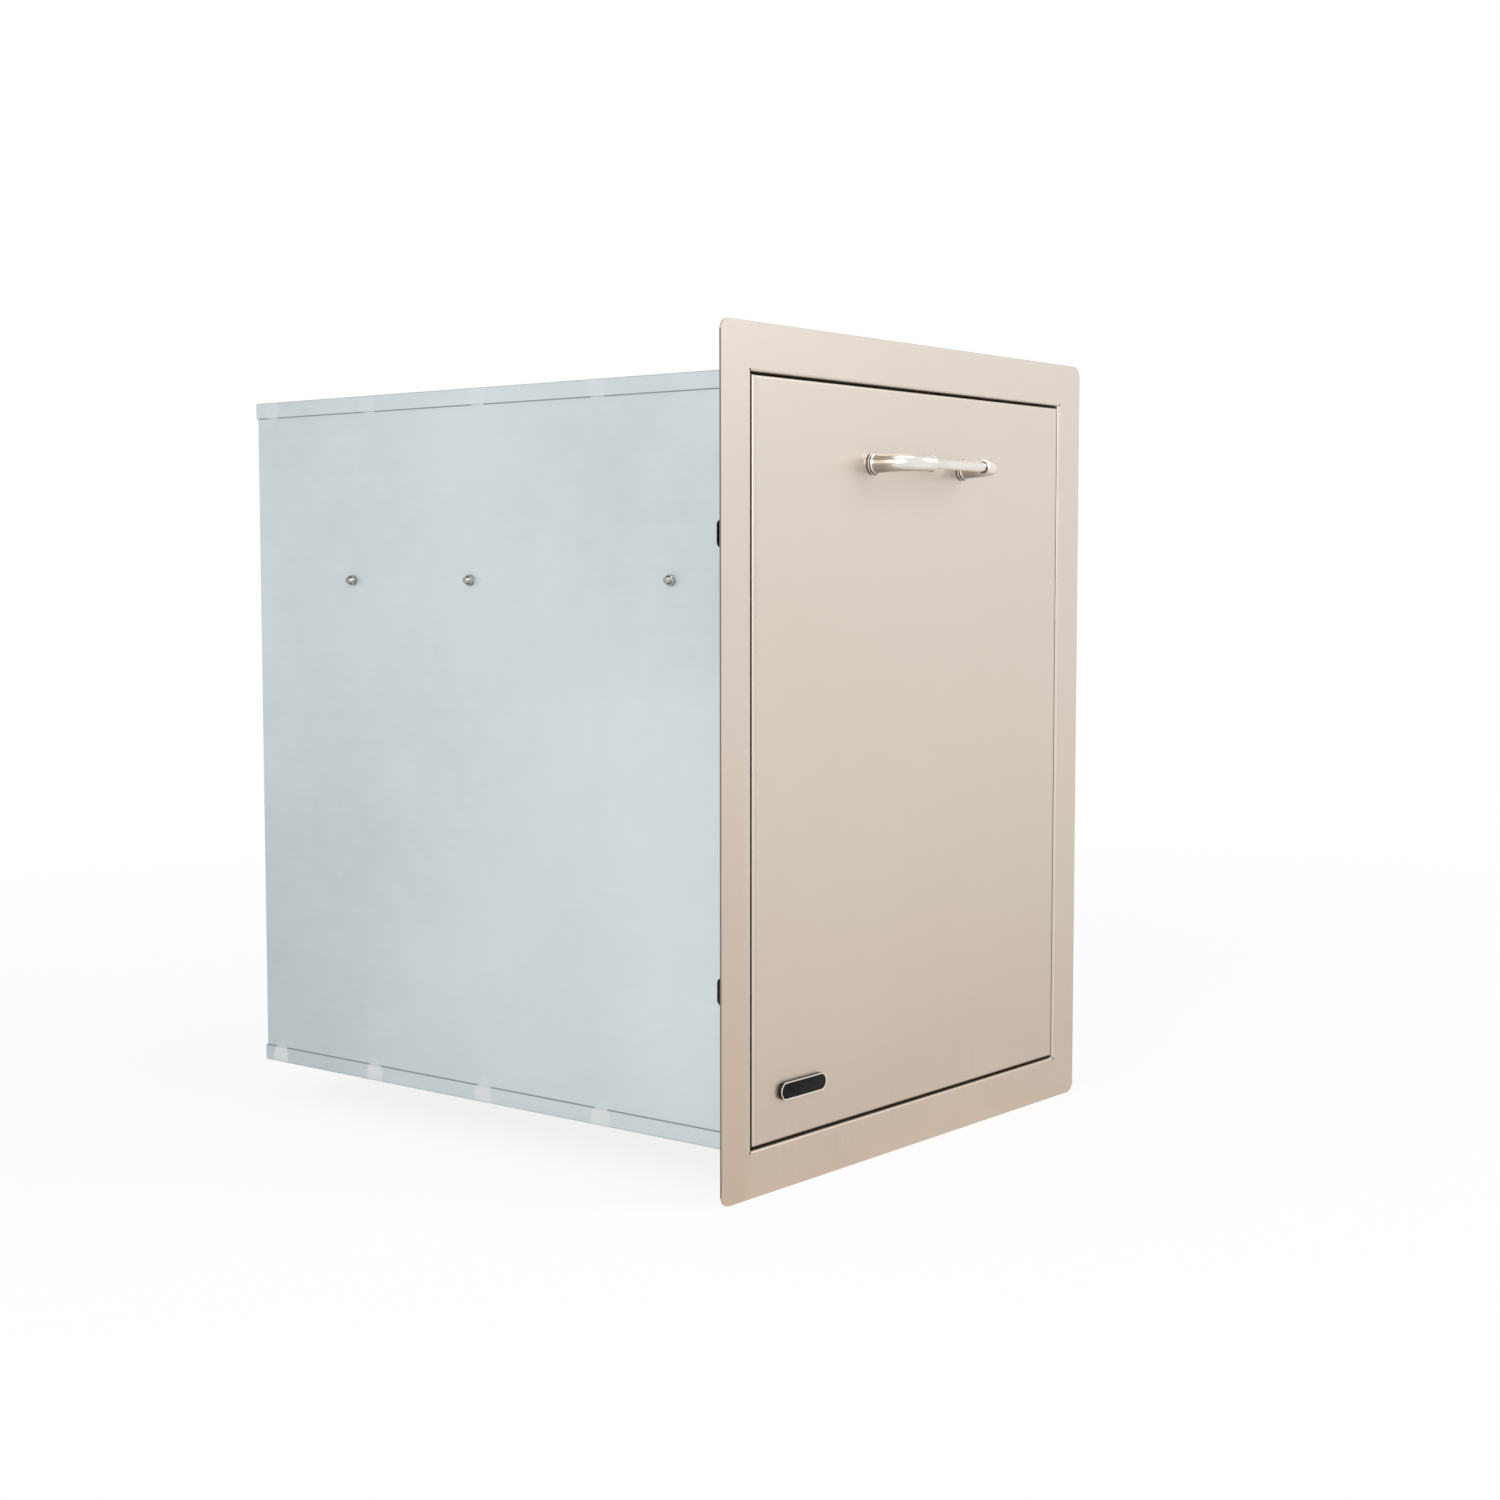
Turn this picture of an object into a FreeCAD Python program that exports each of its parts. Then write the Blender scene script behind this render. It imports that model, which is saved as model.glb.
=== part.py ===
# Built-in double trash drawer: a stainless front frame and drawer front, a galvanised housing,
# telescoping ball slides, and a carrier that two lift-out bins hang in.
#
# Millimetres. X runs right along the front, Y runs into the wall and Z runs up. The origin is the
# centre of the front frame's back face, in the plane of the wall around the cut-out.

import FreeCAD
import Part

import math
import os

from FreeCAD import Vector

# Front frame: one folded stainless sheet, a flat flange with its inner edge turned back
FLANGE_WIDTH = 510.0
FLANGE_HEIGHT = 660.0
FLANGE_CORNER_RADIUS = 9.0
FLANGE_SIDE_BORDER = 35.5
FLANGE_END_BORDER = 36.5
FRAME_SHEET = 1.5
FRAME_BEND = 0.8
RETURN_DEPTH = 20.0
CORNER_SLIT_WIDTH = 1.6
CORNER_SLIT_REACH = 2.8

# Mounting slots through the housing sides, just behind the turned-back edge
SLOT_LENGTH = 21.0
SLOT_WIDTH = 8.0
SLOT_SETBACK = 26.0
SLOT_SPACING = 348.0

# Housing: galvanised sides and back between two folded caps
HOUSING_SHEET = 1.0
HOUSING_BEND = 0.8
HOUSING_DEPTH = 560.0
HOUSING_SETBACK = 3.0
CAP_LIP = 13.5
REAR_FLANGE = 14.0
BACK_INSET = 0.7
WALL_CLEARANCE = 0.2

# Drawer front: a stainless pan closed by a flat liner
DOOR_GAP = 2.2
DOOR_THICKNESS = 20.0
DOOR_SHEET = 1.2
DOOR_EDGE_RADIUS = 2.0
DOOR_HEM = 24.0
LINER_SHEET = 1.0
LINER_CLEARANCE = 0.3

# Pull handle: two cast elbows with a bar socketed between them
HANDLE_SPACING = 128.0
HANDLE_PROJECTION = 38.0
HANDLE_DROP = 60.0
ELBOW_BEND_RADIUS = 24.0
ELBOW_BASE_DIAMETER = 15.0
ELBOW_DIAMETER = 13.0
ELBOW_MITRES = 3
FOOT_DIAMETER = 18.4
FOOT_THICKNESS = 2.0
BEAD_DIAMETER = 16.6
BEAD_THICKNESS = 1.6
NECK_FLARE = 5.0
BAR_DIAMETER = 8.0
BAR_SHOWN = 75.0
BAR_SOCKET = 6.0
BAR_FIT = 0.05
COLLAR_DIAMETER = 13.8

# Bare badge plate at the lower left of the drawer front
BADGE_WIDTH = 58.0
BADGE_HEIGHT = 14.0
BADGE_THICKNESS = 3.5
BADGE_CORNER_RADIUS = 6.8
BADGE_RIM = 1.1
BADGE_RECESS = 0.5
BADGE_INLAY = 0.4
BADGE_FIT = 0.05
BADGE_FROM_SIDE = 60.0
BADGE_FROM_BOTTOM = 37.5

# Telescoping ball slide, one on each side
SLIDE_SETBACK = 40.0
SLIDE_REAR_GAP = 20.0
SLIDE_DROP = 156.0
SLIDE_HEIGHT = 45.4
SLIDE_THICKNESS = 12.7
MEMBER_SHEET = 1.2
MEMBER_BEND = 0.5
OUTER_FLANGE = 10.0
MIDDLE_FLANGE = 7.2
INNER_FLANGE = 6.2
MEMBER_STEP = 2.0
STOP_SPACE = 10.0
BALL_DIAMETER = 4.0
BALL_CLEARANCE = 0.1
BALL_LATITUDES = (-55, 0, 55)
BALL_SIDES = 5
RACE_DEPTH = 0.4
OUTER_BALL_OFFSET = 6.6
INNER_BALL_OFFSET = 9.0
CAGE_SHEET = 0.6
CAGE_GAP = 0.3
CAGE_LENGTH = 150.0
CAGE_EDGE = 0.8
CAGE_BEND = 0.3
CAGE_HOLE_CLEARANCE = 0.15
OUTER_CAGE_SHARE = 0.3
INNER_CAGE_SHARE = 0.32
BALLS_PER_ROW = 3
BALL_PITCH = 52.0
BUMPER_LENGTH = 7.0
BUMPER_HEIGHT = 18.0
BUMPER_WIDTH = 7.5

# Release lever on each inner slide member
LEVER_SHARE = 0.62
LEVER_LENGTH = 56.0
LEVER_HEIGHT = 7.0
LEVER_THICKNESS = 3.0
LEVER_TAB = 11.0
LEVER_GAP = 0.3
PIVOT_DIAMETER = 4.0
PIVOT_FIT = 0.06
PIVOT_HEAD_DIAMETER = 6.4
PIVOT_HEAD = 0.6

# Bin carrier: folded rails that ride on the slides
RAIL_SHEET = 1.5
RAIL_BEND = 1.0
RAIL_ABOVE_SLIDE = 30.0
RAIL_BELOW_SLIDE = 34.0
RAIL_LEDGE = 22.0
RAIL_SHORT = 10.0
CROSS_LEDGE = 20.0
DIVIDER_WIDTH = 40.0
DIVIDER_DROP = 26.0

# Gussets that hold the drawer front square to the rails
GUSSET_SHEET = 1.5
GUSSET_REACH = 150.0
GUSSET_FOOT_REACH = 30.0
GUSSET_FROM_BOTTOM = 66.3
GUSSET_TAB = 20.0
GUSSET_GAP = 0.5

# Lift-out bins
BIN_GAP = 1.4
BIN_FLOOR_GAP = 30.0
BIN_TAPER = 26.0
BIN_WALL = 2.2
BIN_FLOOR = 2.5
BIN_CORNER_RADIUS = 32.0
BIN_RIM_OVERLAP = 12.0
BIN_RIM_HEIGHT = 10.0
BIN_RIM_LIP = 3.0

# Fasteners
WALL_SCREW_SHARES = (0.069, 0.504, 0.791)
WALL_SCREW_DIAMETER = 5.0
WALL_SCREW_HEAD_DIAMETER = 9.5
WALL_SCREW_HEAD = 1.6
WALL_SCREW_TAIL = 7.5
WALL_NUT_WIDTH = 8.0
WALL_NUT = 4.0
RAIL_SCREW_END = 50.0
RAIL_SCREW_DIAMETER = 4.0
RAIL_SCREW_HEAD_DIAMETER = 7.5
RAIL_SCREW_HEAD = 2.2
RAIL_SCREW_TAIL = 6.0
RAIL_NUT_WIDTH = 7.0
RAIL_NUT = 3.2
DOOR_SCREW_DIAMETER = 4.0
DOOR_SCREW_HEAD_DIAMETER = 8.0
DOOR_SCREW_HEAD = 2.4
DOOR_SCREW_TAIL = 8.0
DOOR_SCREW_COUNT = 2
DOOR_SCREW_MARGIN = 30.0
HANDLE_SCREW_DIAMETER = 5.0
HANDLE_SCREW_HEAD_DIAMETER = 9.0
HANDLE_SCREW_HEAD = 3.0
HANDLE_SCREW_BITE = 12.0
SCREW_FIT = 0.15
THREAD_FIT = 0.05
FASTENER_SIDES = 6

# How far a cutting tool runs past the face it cuts
CUT_PAST = 1.0

# Planes and half sizes that several pieces share
opening_half_x = FLANGE_WIDTH / 2 - FLANGE_SIDE_BORDER
opening_half_z = FLANGE_HEIGHT / 2 - FLANGE_END_BORDER
wall_inner_x = opening_half_x + FRAME_SHEET
wall_outer_x = wall_inner_x + HOUSING_SHEET
cap_inner_z = opening_half_z + FRAME_SHEET
housing_half_x = wall_outer_x + HOUSING_SHEET
housing_half_z = cap_inner_z + HOUSING_SHEET
wall_half_z = cap_inner_z - HOUSING_BEND - WALL_CLEARANCE
back_outer_y = HOUSING_DEPTH + HOUSING_SHEET
housing_rear_y = back_outer_y + HOUSING_SHEET

door_front_y = -FRAME_SHEET
door_back_y = door_front_y + DOOR_THICKNESS
door_half_x = opening_half_x - DOOR_GAP
door_half_z = opening_half_z - DOOR_GAP

handle_z = door_half_z - HANDLE_DROP
bar_y = door_front_y - HANDLE_PROJECTION

slide_rear_y = HOUSING_DEPTH - SLIDE_REAR_GAP
slide_length = slide_rear_y - SLIDE_SETBACK
slide_z = cap_inner_z - SLIDE_DROP
slide_inner_x = wall_inner_x - SLIDE_THICKNESS
ball_radius = BALL_DIAMETER / 2
race_radius = ball_radius + BALL_CLEARANCE
outer_race_z = SLIDE_HEIGHT / 2 - MEMBER_SHEET + RACE_DEPTH - race_radius
middle_half_z = outer_race_z - race_radius + RACE_DEPTH
inner_race_z = middle_half_z - MEMBER_SHEET + RACE_DEPTH - race_radius
inner_half_z = inner_race_z - race_radius + RACE_DEPTH
outer_cage_offset = MEMBER_SHEET + WALL_SCREW_HEAD + CAGE_GAP
middle_offset = outer_cage_offset + CAGE_SHEET + CAGE_GAP
inner_cage_offset = middle_offset + MEMBER_SHEET + CAGE_GAP
bumper_front_y = slide_rear_y - STOP_SPACE
middle_rear_y = bumper_front_y - CAGE_GAP
inner_rear_y = middle_rear_y - MEMBER_STEP
outer_cage_y = SLIDE_SETBACK + OUTER_CAGE_SHARE * slide_length
inner_cage_y = SLIDE_SETBACK + INNER_CAGE_SHARE * slide_length
lever_y = SLIDE_SETBACK + LEVER_SHARE * slide_length
wall_screw_depths = [SLIDE_SETBACK + share * slide_length for share in WALL_SCREW_SHARES]
rail_screw_first_y = SLIDE_SETBACK + RAIL_SCREW_END
rail_screw_last_y = slide_rear_y - RAIL_SCREW_END
rail_screw_depths = [rail_screw_first_y, (rail_screw_first_y + rail_screw_last_y) / 2, rail_screw_last_y]

rail_inner_x = slide_inner_x - RAIL_SHEET
rail_top_z = slide_z + RAIL_ABOVE_SLIDE
rail_bottom_z = slide_z - RAIL_BELOW_SLIDE
ledge_inner_x = slide_inner_x - RAIL_LEDGE
cross_top_z = rail_top_z - RAIL_SHEET
gusset_inner_x = rail_inner_x - GUSSET_SHEET
front_ledge_y = door_back_y + CROSS_LEDGE
rail_rear_y = slide_rear_y - RAIL_SHORT
rear_ledge_y = rail_rear_y - CROSS_LEDGE
divider_y = (front_ledge_y + rear_ledge_y) / 2
cross_half_x = rail_inner_x - RAIL_BEND
gusset_top_z = cross_top_z - RAIL_BEND - GUSSET_GAP
gusset_tab_z = rail_bottom_z - GUSSET_GAP
gusset_bottom_z = GUSSET_FROM_BOTTOM - door_half_z
lever_x = slide_inner_x + MEMBER_SHEET + LEVER_GAP

bin_top_z = rail_top_z + BIN_RIM_HEIGHT
bin_bottom_z = BIN_FLOOR_GAP - cap_inner_z
bin_half_x = ledge_inner_x - BIN_GAP
bin_half_y = (divider_y - DIVIDER_WIDTH / 2 - front_ledge_y) / 2 - BIN_GAP
rim_half_x = bin_half_x + BIN_RIM_OVERLAP
rim_half_y = bin_half_y + BIN_RIM_OVERLAP

PLANES = {
    "xy": lambda a, b: Vector(a, b, 0),
    "xz": lambda a, b: Vector(a, 0, b),
    "yz": lambda a, b: Vector(0, a, b),
}
ALONG = {"xy": Vector(0, 0, 1), "xz": Vector(0, 1, 0), "yz": Vector(1, 0, 0)}


def block(x, y, z):
    """Box between the low and high values on each axis."""
    return Part.makeBox(x[1] - x[0], y[1] - y[0], z[1] - z[0], Vector(x[0], y[0], z[0]))


def rod(start, axis, length, diameter):
    """Round bar from a point along an axis."""
    return Part.makeCylinder(diameter / 2, length, start, axis)


def prism(start, axis, length, diameter, sides):
    """Straight bar with a regular outline, from a point along one of the main axes."""
    across = Vector(axis.z, axis.x, axis.y) * (diameter / 2)
    upward = axis.cross(across)
    ring = []
    for corner in range(sides + 1):
        angle = 2 * math.pi * corner / sides
        ring.append(start + across * math.cos(angle) + upward * math.sin(angle))
    return Part.Face(Part.makePolygon(ring)).extrude(axis * length)


def peg(start, axis, length, diameter):
    """Fastener shank, head or hole, drawn with few flats because there are many."""
    return prism(start, axis, length, diameter, FASTENER_SIDES)


def nut(seat, axis, thickness, across_flats, bore):
    """Hexagon nut on its seat."""
    corners = across_flats * 2 / math.sqrt(3)
    return prism(seat, axis, thickness, corners, 6).cut(peg(seat, axis, thickness, bore))


def mirrored(shape):
    """The same piece for the left side."""
    return shape.mirror(Vector(0, 0, 0), Vector(1, 0, 0))


def both_sides(shape):
    """A right-hand solid and its left-hand twin."""
    return [shape, mirrored(shape)]


def stacked(rings):
    """Solid with flat sides between rings of as many points each, listed upwards and to the left."""
    flats = [rings[0][::-1], rings[-1]]
    for low, high in zip(rings, rings[1:]):
        for i in range(len(low)):
            flats.append([low[i - 1], low[i], high[i], high[i - 1]])
    faces = [Part.Face(Part.makePolygon(flat + flat[:1])) for flat in flats]
    return Part.Solid(Part.Shell(faces))


def left_of(direction):
    """Direction turned a quarter turn to the left, in a 2D plane."""
    return Vector(-direction.y, direction.x, 0)


def folded_faces(corners, sheet, bend):
    """The two faces of a folded sheet, each a list of end points and three-point bends.

    The corners run along one face and the sheet lies to their left."""
    points = [Vector(a, b, 0) for a, b in corners]
    near = []
    far = []
    for i, point in enumerate(points):
        before = (point - points[i - 1]).normalize() if i else None
        after = (points[i + 1] - point).normalize() if i + 1 < len(points) else None
        if before is None or after is None:
            near.append([point])
            far.append([point + left_of(before or after) * sheet])
            continue
        turn = math.copysign(1, before.x * after.y - before.y * after.x)
        near_radius = bend + sheet if turn > 0 else bend
        far_radius = bend if turn > 0 else bend + sheet
        setback = near_radius * math.tan(before.getAngle(after) / 2)
        first = point - before * setback
        last = point + after * setback
        centre = first + left_of(before) * near_radius * turn
        spokes = [(p - centre).normalize() for p in (first, point, last)]
        near.append([centre + spoke * near_radius for spoke in spokes])
        far.append([centre + spoke * far_radius for spoke in spokes])
    return near, far


def folded_outline(plane, corners, sheet, bend, rounded=True):
    """Closed outline of a folded sheet seen on edge, its bends rounded or each drawn with two flats."""
    near, far = folded_faces(corners, sheet, bend)
    outline = near + [stop[::-1] for stop in far[::-1]]
    place = PLANES[plane]
    edges = []
    for i, stop in enumerate(outline):
        flat = [place(p.x, p.y) for p in stop]
        following = outline[(i + 1) % len(outline)][0]
        if rounded and len(flat) > 1:
            edges.append(Part.Arc(*flat).toShape())
        elif len(flat) > 1:
            edges += Part.makePolygon(flat).Edges
        edges.append(Part.makeLine(flat[-1], place(following.x, following.y)))
    return Part.Wire(edges)


def folded_sheet(plane, corners, sheet, bend, start, end, rounded=True):
    """Folded sheet metal: its outline in one plane, extruded between two values on the third axis."""
    outline = folded_outline(plane, corners, sheet, bend, rounded)
    solid = Part.Face(outline).extrude(ALONG[plane] * (end - start))
    solid.translate(ALONG[plane] * start)
    return solid


def rounded_wire(half_x, half_y, radius, z):
    """Rectangle with rounded corners in a level plane, centred on the Z axis."""
    corners = [(1, 1), (-1, 1), (-1, -1), (1, -1)]
    edges = []
    ends = []
    for i, (a, b) in enumerate(corners):
        centre = Vector(a * (half_x - radius), b * (half_y - radius), z)
        angles = [math.radians(90 * i + step) for step in (0, 45, 90)]
        arc = [centre + Vector(math.cos(t), math.sin(t), 0) * radius for t in angles]
        edges.append(Part.Arc(*arc).toShape())
        ends.append((arc[0], arc[2]))
    for i in range(4):
        edges.insert(2 * i + 1, Part.makeLine(ends[i][1], ends[(i + 1) % 4][0]))
    return Part.Wire(edges)


def upright(shape):
    """Turns a shape drawn in the XY plane to stand in the XZ plane, with its thickness along +Y."""
    return shape.rotated(Vector(0, 0, 0), Vector(1, 0, 0), 90)


def rounded_panel(half_x, half_z, radius, front_y, back_y):
    """Upright panel with rounded corners between two depths."""
    face = Part.Face(rounded_wire(half_x, half_z, radius, -back_y))
    return upright(face.extrude(Vector(0, 0, back_y - front_y)))


def softened_box(x, y, z, radius, keep):
    """Box whose edges that pass a test are rounded."""
    solid = block(x, y, z)
    return solid.makeFillet(radius, [edge for edge in solid.Edges if keep(edge.CenterOfMass)])


def slot_cutters():
    """Upright oblong cutters through both housing walls, at the mounting slots."""
    radius = SLOT_WIDTH / 2
    straight = SLOT_LENGTH - SLOT_WIDTH
    reach = (-housing_half_x, housing_half_x)
    across = Vector(reach[1] - reach[0], 0, 0)
    cutters = []
    for side in (-1, 1):
        centre_z = side * SLOT_SPACING / 2
        depth = (SLOT_SETBACK - radius, SLOT_SETBACK + radius)
        middle = block(reach, depth, (centre_z - straight / 2, centre_z + straight / 2))
        for end in (-1, 1):
            start = Vector(reach[0], SLOT_SETBACK, centre_z + end * straight / 2)
            middle = middle.fuse(rod(start, across, across.Length, SLOT_WIDTH))
        cutters.append(middle.removeSplitter())
    return cutters


def corner_slits(depth):
    """Cutters for the relief slits that run outwards from the opening's corners, where the folds meet."""
    width = (-CORNER_SLIT_WIDTH / 2, CORNER_SLIT_WIDTH / 2)
    slit = block((-CUT_PAST, CORNER_SLIT_REACH), depth, width)
    cutters = []
    for x, z, turn in ((1, 1, -45), (-1, 1, -135), (-1, -1, 135), (1, -1, 45)):
        cutter = slit.rotated(Vector(0, 0, 0), Vector(0, 1, 0), turn)
        cutter.translate(Vector(x * opening_half_x, 0, z * opening_half_z))
        cutters.append(cutter)
    return cutters


def front_frame():
    """Flat flange whose inner edge is folded back round the opening, with slits in its mitred corners."""
    x, z = opening_half_x, opening_half_z
    turns = [(0, -z), (x, -z), (x, z), (-x, z), (-x, -z), (0, -z)]
    spine = Part.makePolygon([Vector(a, 0, b) for a, b in turns])
    outer = -z - max(FLANGE_SIDE_BORDER, FLANGE_END_BORDER)
    corners = [(RETURN_DEPTH, -z), (door_front_y, -z), (door_front_y, outer)]
    section = folded_outline("yz", corners, FRAME_SHEET, FRAME_BEND)
    right_corner = 1
    folded = spine.makePipeShell([section], True, False, right_corner)
    depth = (door_front_y - CUT_PAST, RETURN_DEPTH + CUT_PAST)
    trim = rounded_panel(FLANGE_WIDTH / 2, FLANGE_HEIGHT / 2, FLANGE_CORNER_RADIUS, *depth)
    return folded.common(trim).cut(corner_slits(depth)).removeSplitter()


def wall_screw_holes():
    """Cutters for the slide screws through the right-hand wall."""
    reach = wall_outer_x - slide_inner_x
    diameter = WALL_SCREW_DIAMETER + 2 * SCREW_FIT
    near_x = wall_inner_x - MEMBER_SHEET - CUT_PAST
    starts = [Vector(near_x, y, slide_z) for y in wall_screw_depths]
    return [peg(start, Vector(1, 0, 0), reach, diameter) for start in starts]


def housing_side():
    """Right-hand wall: a flat sheet with its rear edge folded in."""
    corners = [
        (wall_outer_x, HOUSING_SETBACK),
        (wall_outer_x, HOUSING_DEPTH),
        (wall_outer_x - REAR_FLANGE, HOUSING_DEPTH),
    ]
    wall = folded_sheet("xy", corners, HOUSING_SHEET, HOUSING_BEND, -wall_half_z, wall_half_z)
    return wall.cut(slot_cutters() + wall_screw_holes())


def housing_cap():
    """Top cap: a tray whose lips fold down outside the walls and the back, relieved at the rear corners."""
    low = housing_half_z - CAP_LIP
    fold = HOUSING_SHEET + HOUSING_BEND
    across = [
        (housing_half_x, low),
        (housing_half_x, housing_half_z),
        (-housing_half_x, housing_half_z),
        (-housing_half_x, low),
    ]
    depth = (HOUSING_SETBACK, housing_rear_y - fold)
    side_lips = folded_sheet("xz", across, HOUSING_SHEET, HOUSING_BEND, *depth)
    along = [(housing_rear_y, low), (housing_rear_y, housing_half_z), (HOUSING_DEPTH / 2, housing_half_z)]
    half_x = housing_half_x - fold
    rear_lip = folded_sheet("yz", along, HOUSING_SHEET, HOUSING_BEND, -half_x, half_x)
    return side_lips.fuse(rear_lip).removeSplitter()


def housing_back():
    """Flat back panel against the walls' rear flanges."""
    half_x = wall_inner_x - HOUSING_BEND - BACK_INSET
    return block((-half_x, half_x), (HOUSING_DEPTH, back_outer_y), (-wall_half_z, wall_half_z))


def handle_screw_holes():
    """Cutters for the handle screws through the drawer front."""
    diameter = HANDLE_SCREW_DIAMETER + 2 * SCREW_FIT
    starts = [Vector(side * HANDLE_SPACING / 2, door_front_y - CUT_PAST, handle_z) for side in (-1, 1)]
    return [peg(start, Vector(0, 1, 0), DOOR_SHEET + 2 * CUT_PAST, diameter) for start in starts]


def door_screw_places():
    """Head seats of the screws into the drawer front: two in each gusset tab, a row on the cross rail."""
    places = []
    tab_x = gusset_inner_x - GUSSET_TAB / 2
    top = gusset_tab_z - DOOR_SCREW_MARGIN
    bottom = gusset_bottom_z + DOOR_SCREW_MARGIN
    for z in (bottom, top):
        for x in (-tab_x, tab_x):
            places.append(Vector(x, door_back_y + GUSSET_SHEET, z))
    pitch = 2 * gusset_inner_x / DOOR_SCREW_COUNT
    row_z = (rail_bottom_z + cross_top_z) / 2
    for i in range(DOOR_SCREW_COUNT):
        places.append(Vector((i + 0.5) * pitch - gusset_inner_x, door_back_y + RAIL_SHEET, row_z))
    return places


def door_screw_holes():
    """Cutters for the screws into the drawer front."""
    diameter = DOOR_SCREW_DIAMETER + 2 * SCREW_FIT
    reach = DOOR_SCREW_TAIL + CUT_PAST
    over = Vector(0, CUT_PAST, 0)
    return [peg(seat + over, Vector(0, -1, 0), reach, diameter) for seat in door_screw_places()]


def door_pan():
    """Drawer front: a pan with rounded front edges and a hem folded in behind them."""
    def on_front(front):
        return lambda point: abs(point.y - front) < DOOR_SHEET / 2

    outside = softened_box(
        (-door_half_x, door_half_x),
        (door_front_y, door_back_y),
        (-door_half_z, door_half_z),
        DOOR_EDGE_RADIUS,
        on_front(door_front_y),
    )
    inner_x = door_half_x - DOOR_SHEET
    inner_z = door_half_z - DOOR_SHEET
    inside = softened_box(
        (-inner_x, inner_x),
        (door_front_y + DOOR_SHEET, door_back_y + CUT_PAST),
        (-inner_z, inner_z),
        DOOR_EDGE_RADIUS - DOOR_SHEET,
        on_front(door_front_y + DOOR_SHEET),
    )
    hem_back = door_back_y - LINER_SHEET
    hem = block((-inner_x, inner_x), (hem_back - DOOR_SHEET, hem_back), (-inner_z, inner_z))
    mouth_x = inner_x - DOOR_HEM
    mouth_z = inner_z - DOOR_HEM
    hem = hem.cut(block((-mouth_x, mouth_x), (door_front_y, door_back_y), (-mouth_z, mouth_z)))
    pan = outside.cut(inside).fuse(hem).removeSplitter()
    return pan.cut(handle_screw_holes() + door_screw_holes())


def door_liner():
    """Flat sheet that lies on the pan's hem and closes its back."""
    half_x = door_half_x - DOOR_SHEET - LINER_CLEARANCE
    half_z = door_half_z - DOOR_SHEET - LINER_CLEARANCE
    sheet = block((-half_x, half_x), (door_back_y - LINER_SHEET, door_back_y), (-half_z, half_z))
    return sheet.cut(door_screw_holes())


def handle_elbow():
    """Right-hand elbow: a neck flared on a beaded foot, turned in short mitres to the bar's collar."""
    foot = Vector(HANDLE_SPACING / 2, door_front_y, handle_z)
    bend_centre = Vector(foot.x - ELBOW_BEND_RADIUS, bar_y + ELBOW_BEND_RADIUS, handle_z)
    tip = Vector(BAR_SHOWN / 2, bar_y, handle_z)
    outward = Vector(0, -1, 0)
    inward = Vector(-1, 0, 0)
    radius = ELBOW_DIAMETER / 2
    neck_start = foot + outward * (FOOT_THICKNESS + BEAD_THICKNESS)
    neck = Part.makeCone(ELBOW_BASE_DIAMETER / 2, radius, NECK_FLARE, neck_start, outward)
    step = math.pi / 2 / ELBOW_MITRES
    reach = ELBOW_BEND_RADIUS / math.cos(step / 2)
    turns = [(i + 0.5) * step for i in range(ELBOW_MITRES)]
    mitres = [bend_centre + Vector(math.cos(turn), -math.sin(turn), 0) * reach for turn in turns]
    section = Part.Wire([Part.makeCircle(radius, foot, outward)])
    right_corner = 1
    bend = Part.makePolygon([foot] + mitres + [tip]).makePipeShell([section], True, False, right_corner)
    collar = rod(Vector(bend_centre.x, bar_y, handle_z), inward, bend_centre.x - tip.x, COLLAR_DIAMETER)
    base = rod(foot, outward, FOOT_THICKNESS, FOOT_DIAMETER)
    bead = rod(foot, outward, FOOT_THICKNESS + BEAD_THICKNESS, BEAD_DIAMETER)
    socket = rod(tip - inward * BAR_SOCKET, inward, BAR_SOCKET + CUT_PAST, BAR_DIAMETER + 2 * BAR_FIT)
    thread_depth = HANDLE_SCREW_BITE + 2 * CUT_PAST
    thread = peg(foot - outward * CUT_PAST, outward, thread_depth, HANDLE_SCREW_DIAMETER + 2 * THREAD_FIT)
    return neck.fuse([bend, collar, base, bead]).cut([socket, thread]).removeSplitter()


def handle_bar():
    """Straight bar between the elbows, its ends in their sockets."""
    half = BAR_SHOWN / 2 + BAR_SOCKET
    return rod(Vector(-half, bar_y, handle_z), Vector(1, 0, 0), 2 * half, BAR_DIAMETER)


def handle_screws():
    """Two screws from inside the drawer front into the elbows."""
    screws = []
    for side in (-1, 1):
        seat = Vector(side * HANDLE_SPACING / 2, door_front_y + DOOR_SHEET, handle_z)
        head = peg(seat, Vector(0, 1, 0), HANDLE_SCREW_HEAD, HANDLE_SCREW_HEAD_DIAMETER)
        shank = peg(seat, Vector(0, -1, 0), DOOR_SHEET + HANDLE_SCREW_BITE, HANDLE_SCREW_DIAMETER)
        screws.append(head.fuse(shank))
    return Part.makeCompound(screws)


def badge_panel(inset, front_y, back_y):
    """Oblong with round ends at the badge's place, inset from its outline."""
    panel = rounded_panel(
        BADGE_WIDTH / 2 - inset, BADGE_HEIGHT / 2 - inset, BADGE_CORNER_RADIUS - inset, front_y, back_y
    )
    panel.translate(Vector(BADGE_FROM_SIDE - door_half_x, 0, BADGE_FROM_BOTTOM - door_half_z))
    return panel


def badge_plate():
    """Raised badge with a rim round its recess."""
    front = door_front_y - BADGE_THICKNESS
    recess = badge_panel(BADGE_RIM, front - CUT_PAST, front + BADGE_RECESS)
    return badge_panel(0, front, door_front_y).cut(recess)


def badge_inlay():
    """Plain inlay in the badge's recess."""
    floor = door_front_y - BADGE_THICKNESS + BADGE_RECESS
    return badge_panel(BADGE_RIM + BADGE_FIT, floor - BADGE_INLAY, floor)


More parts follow.
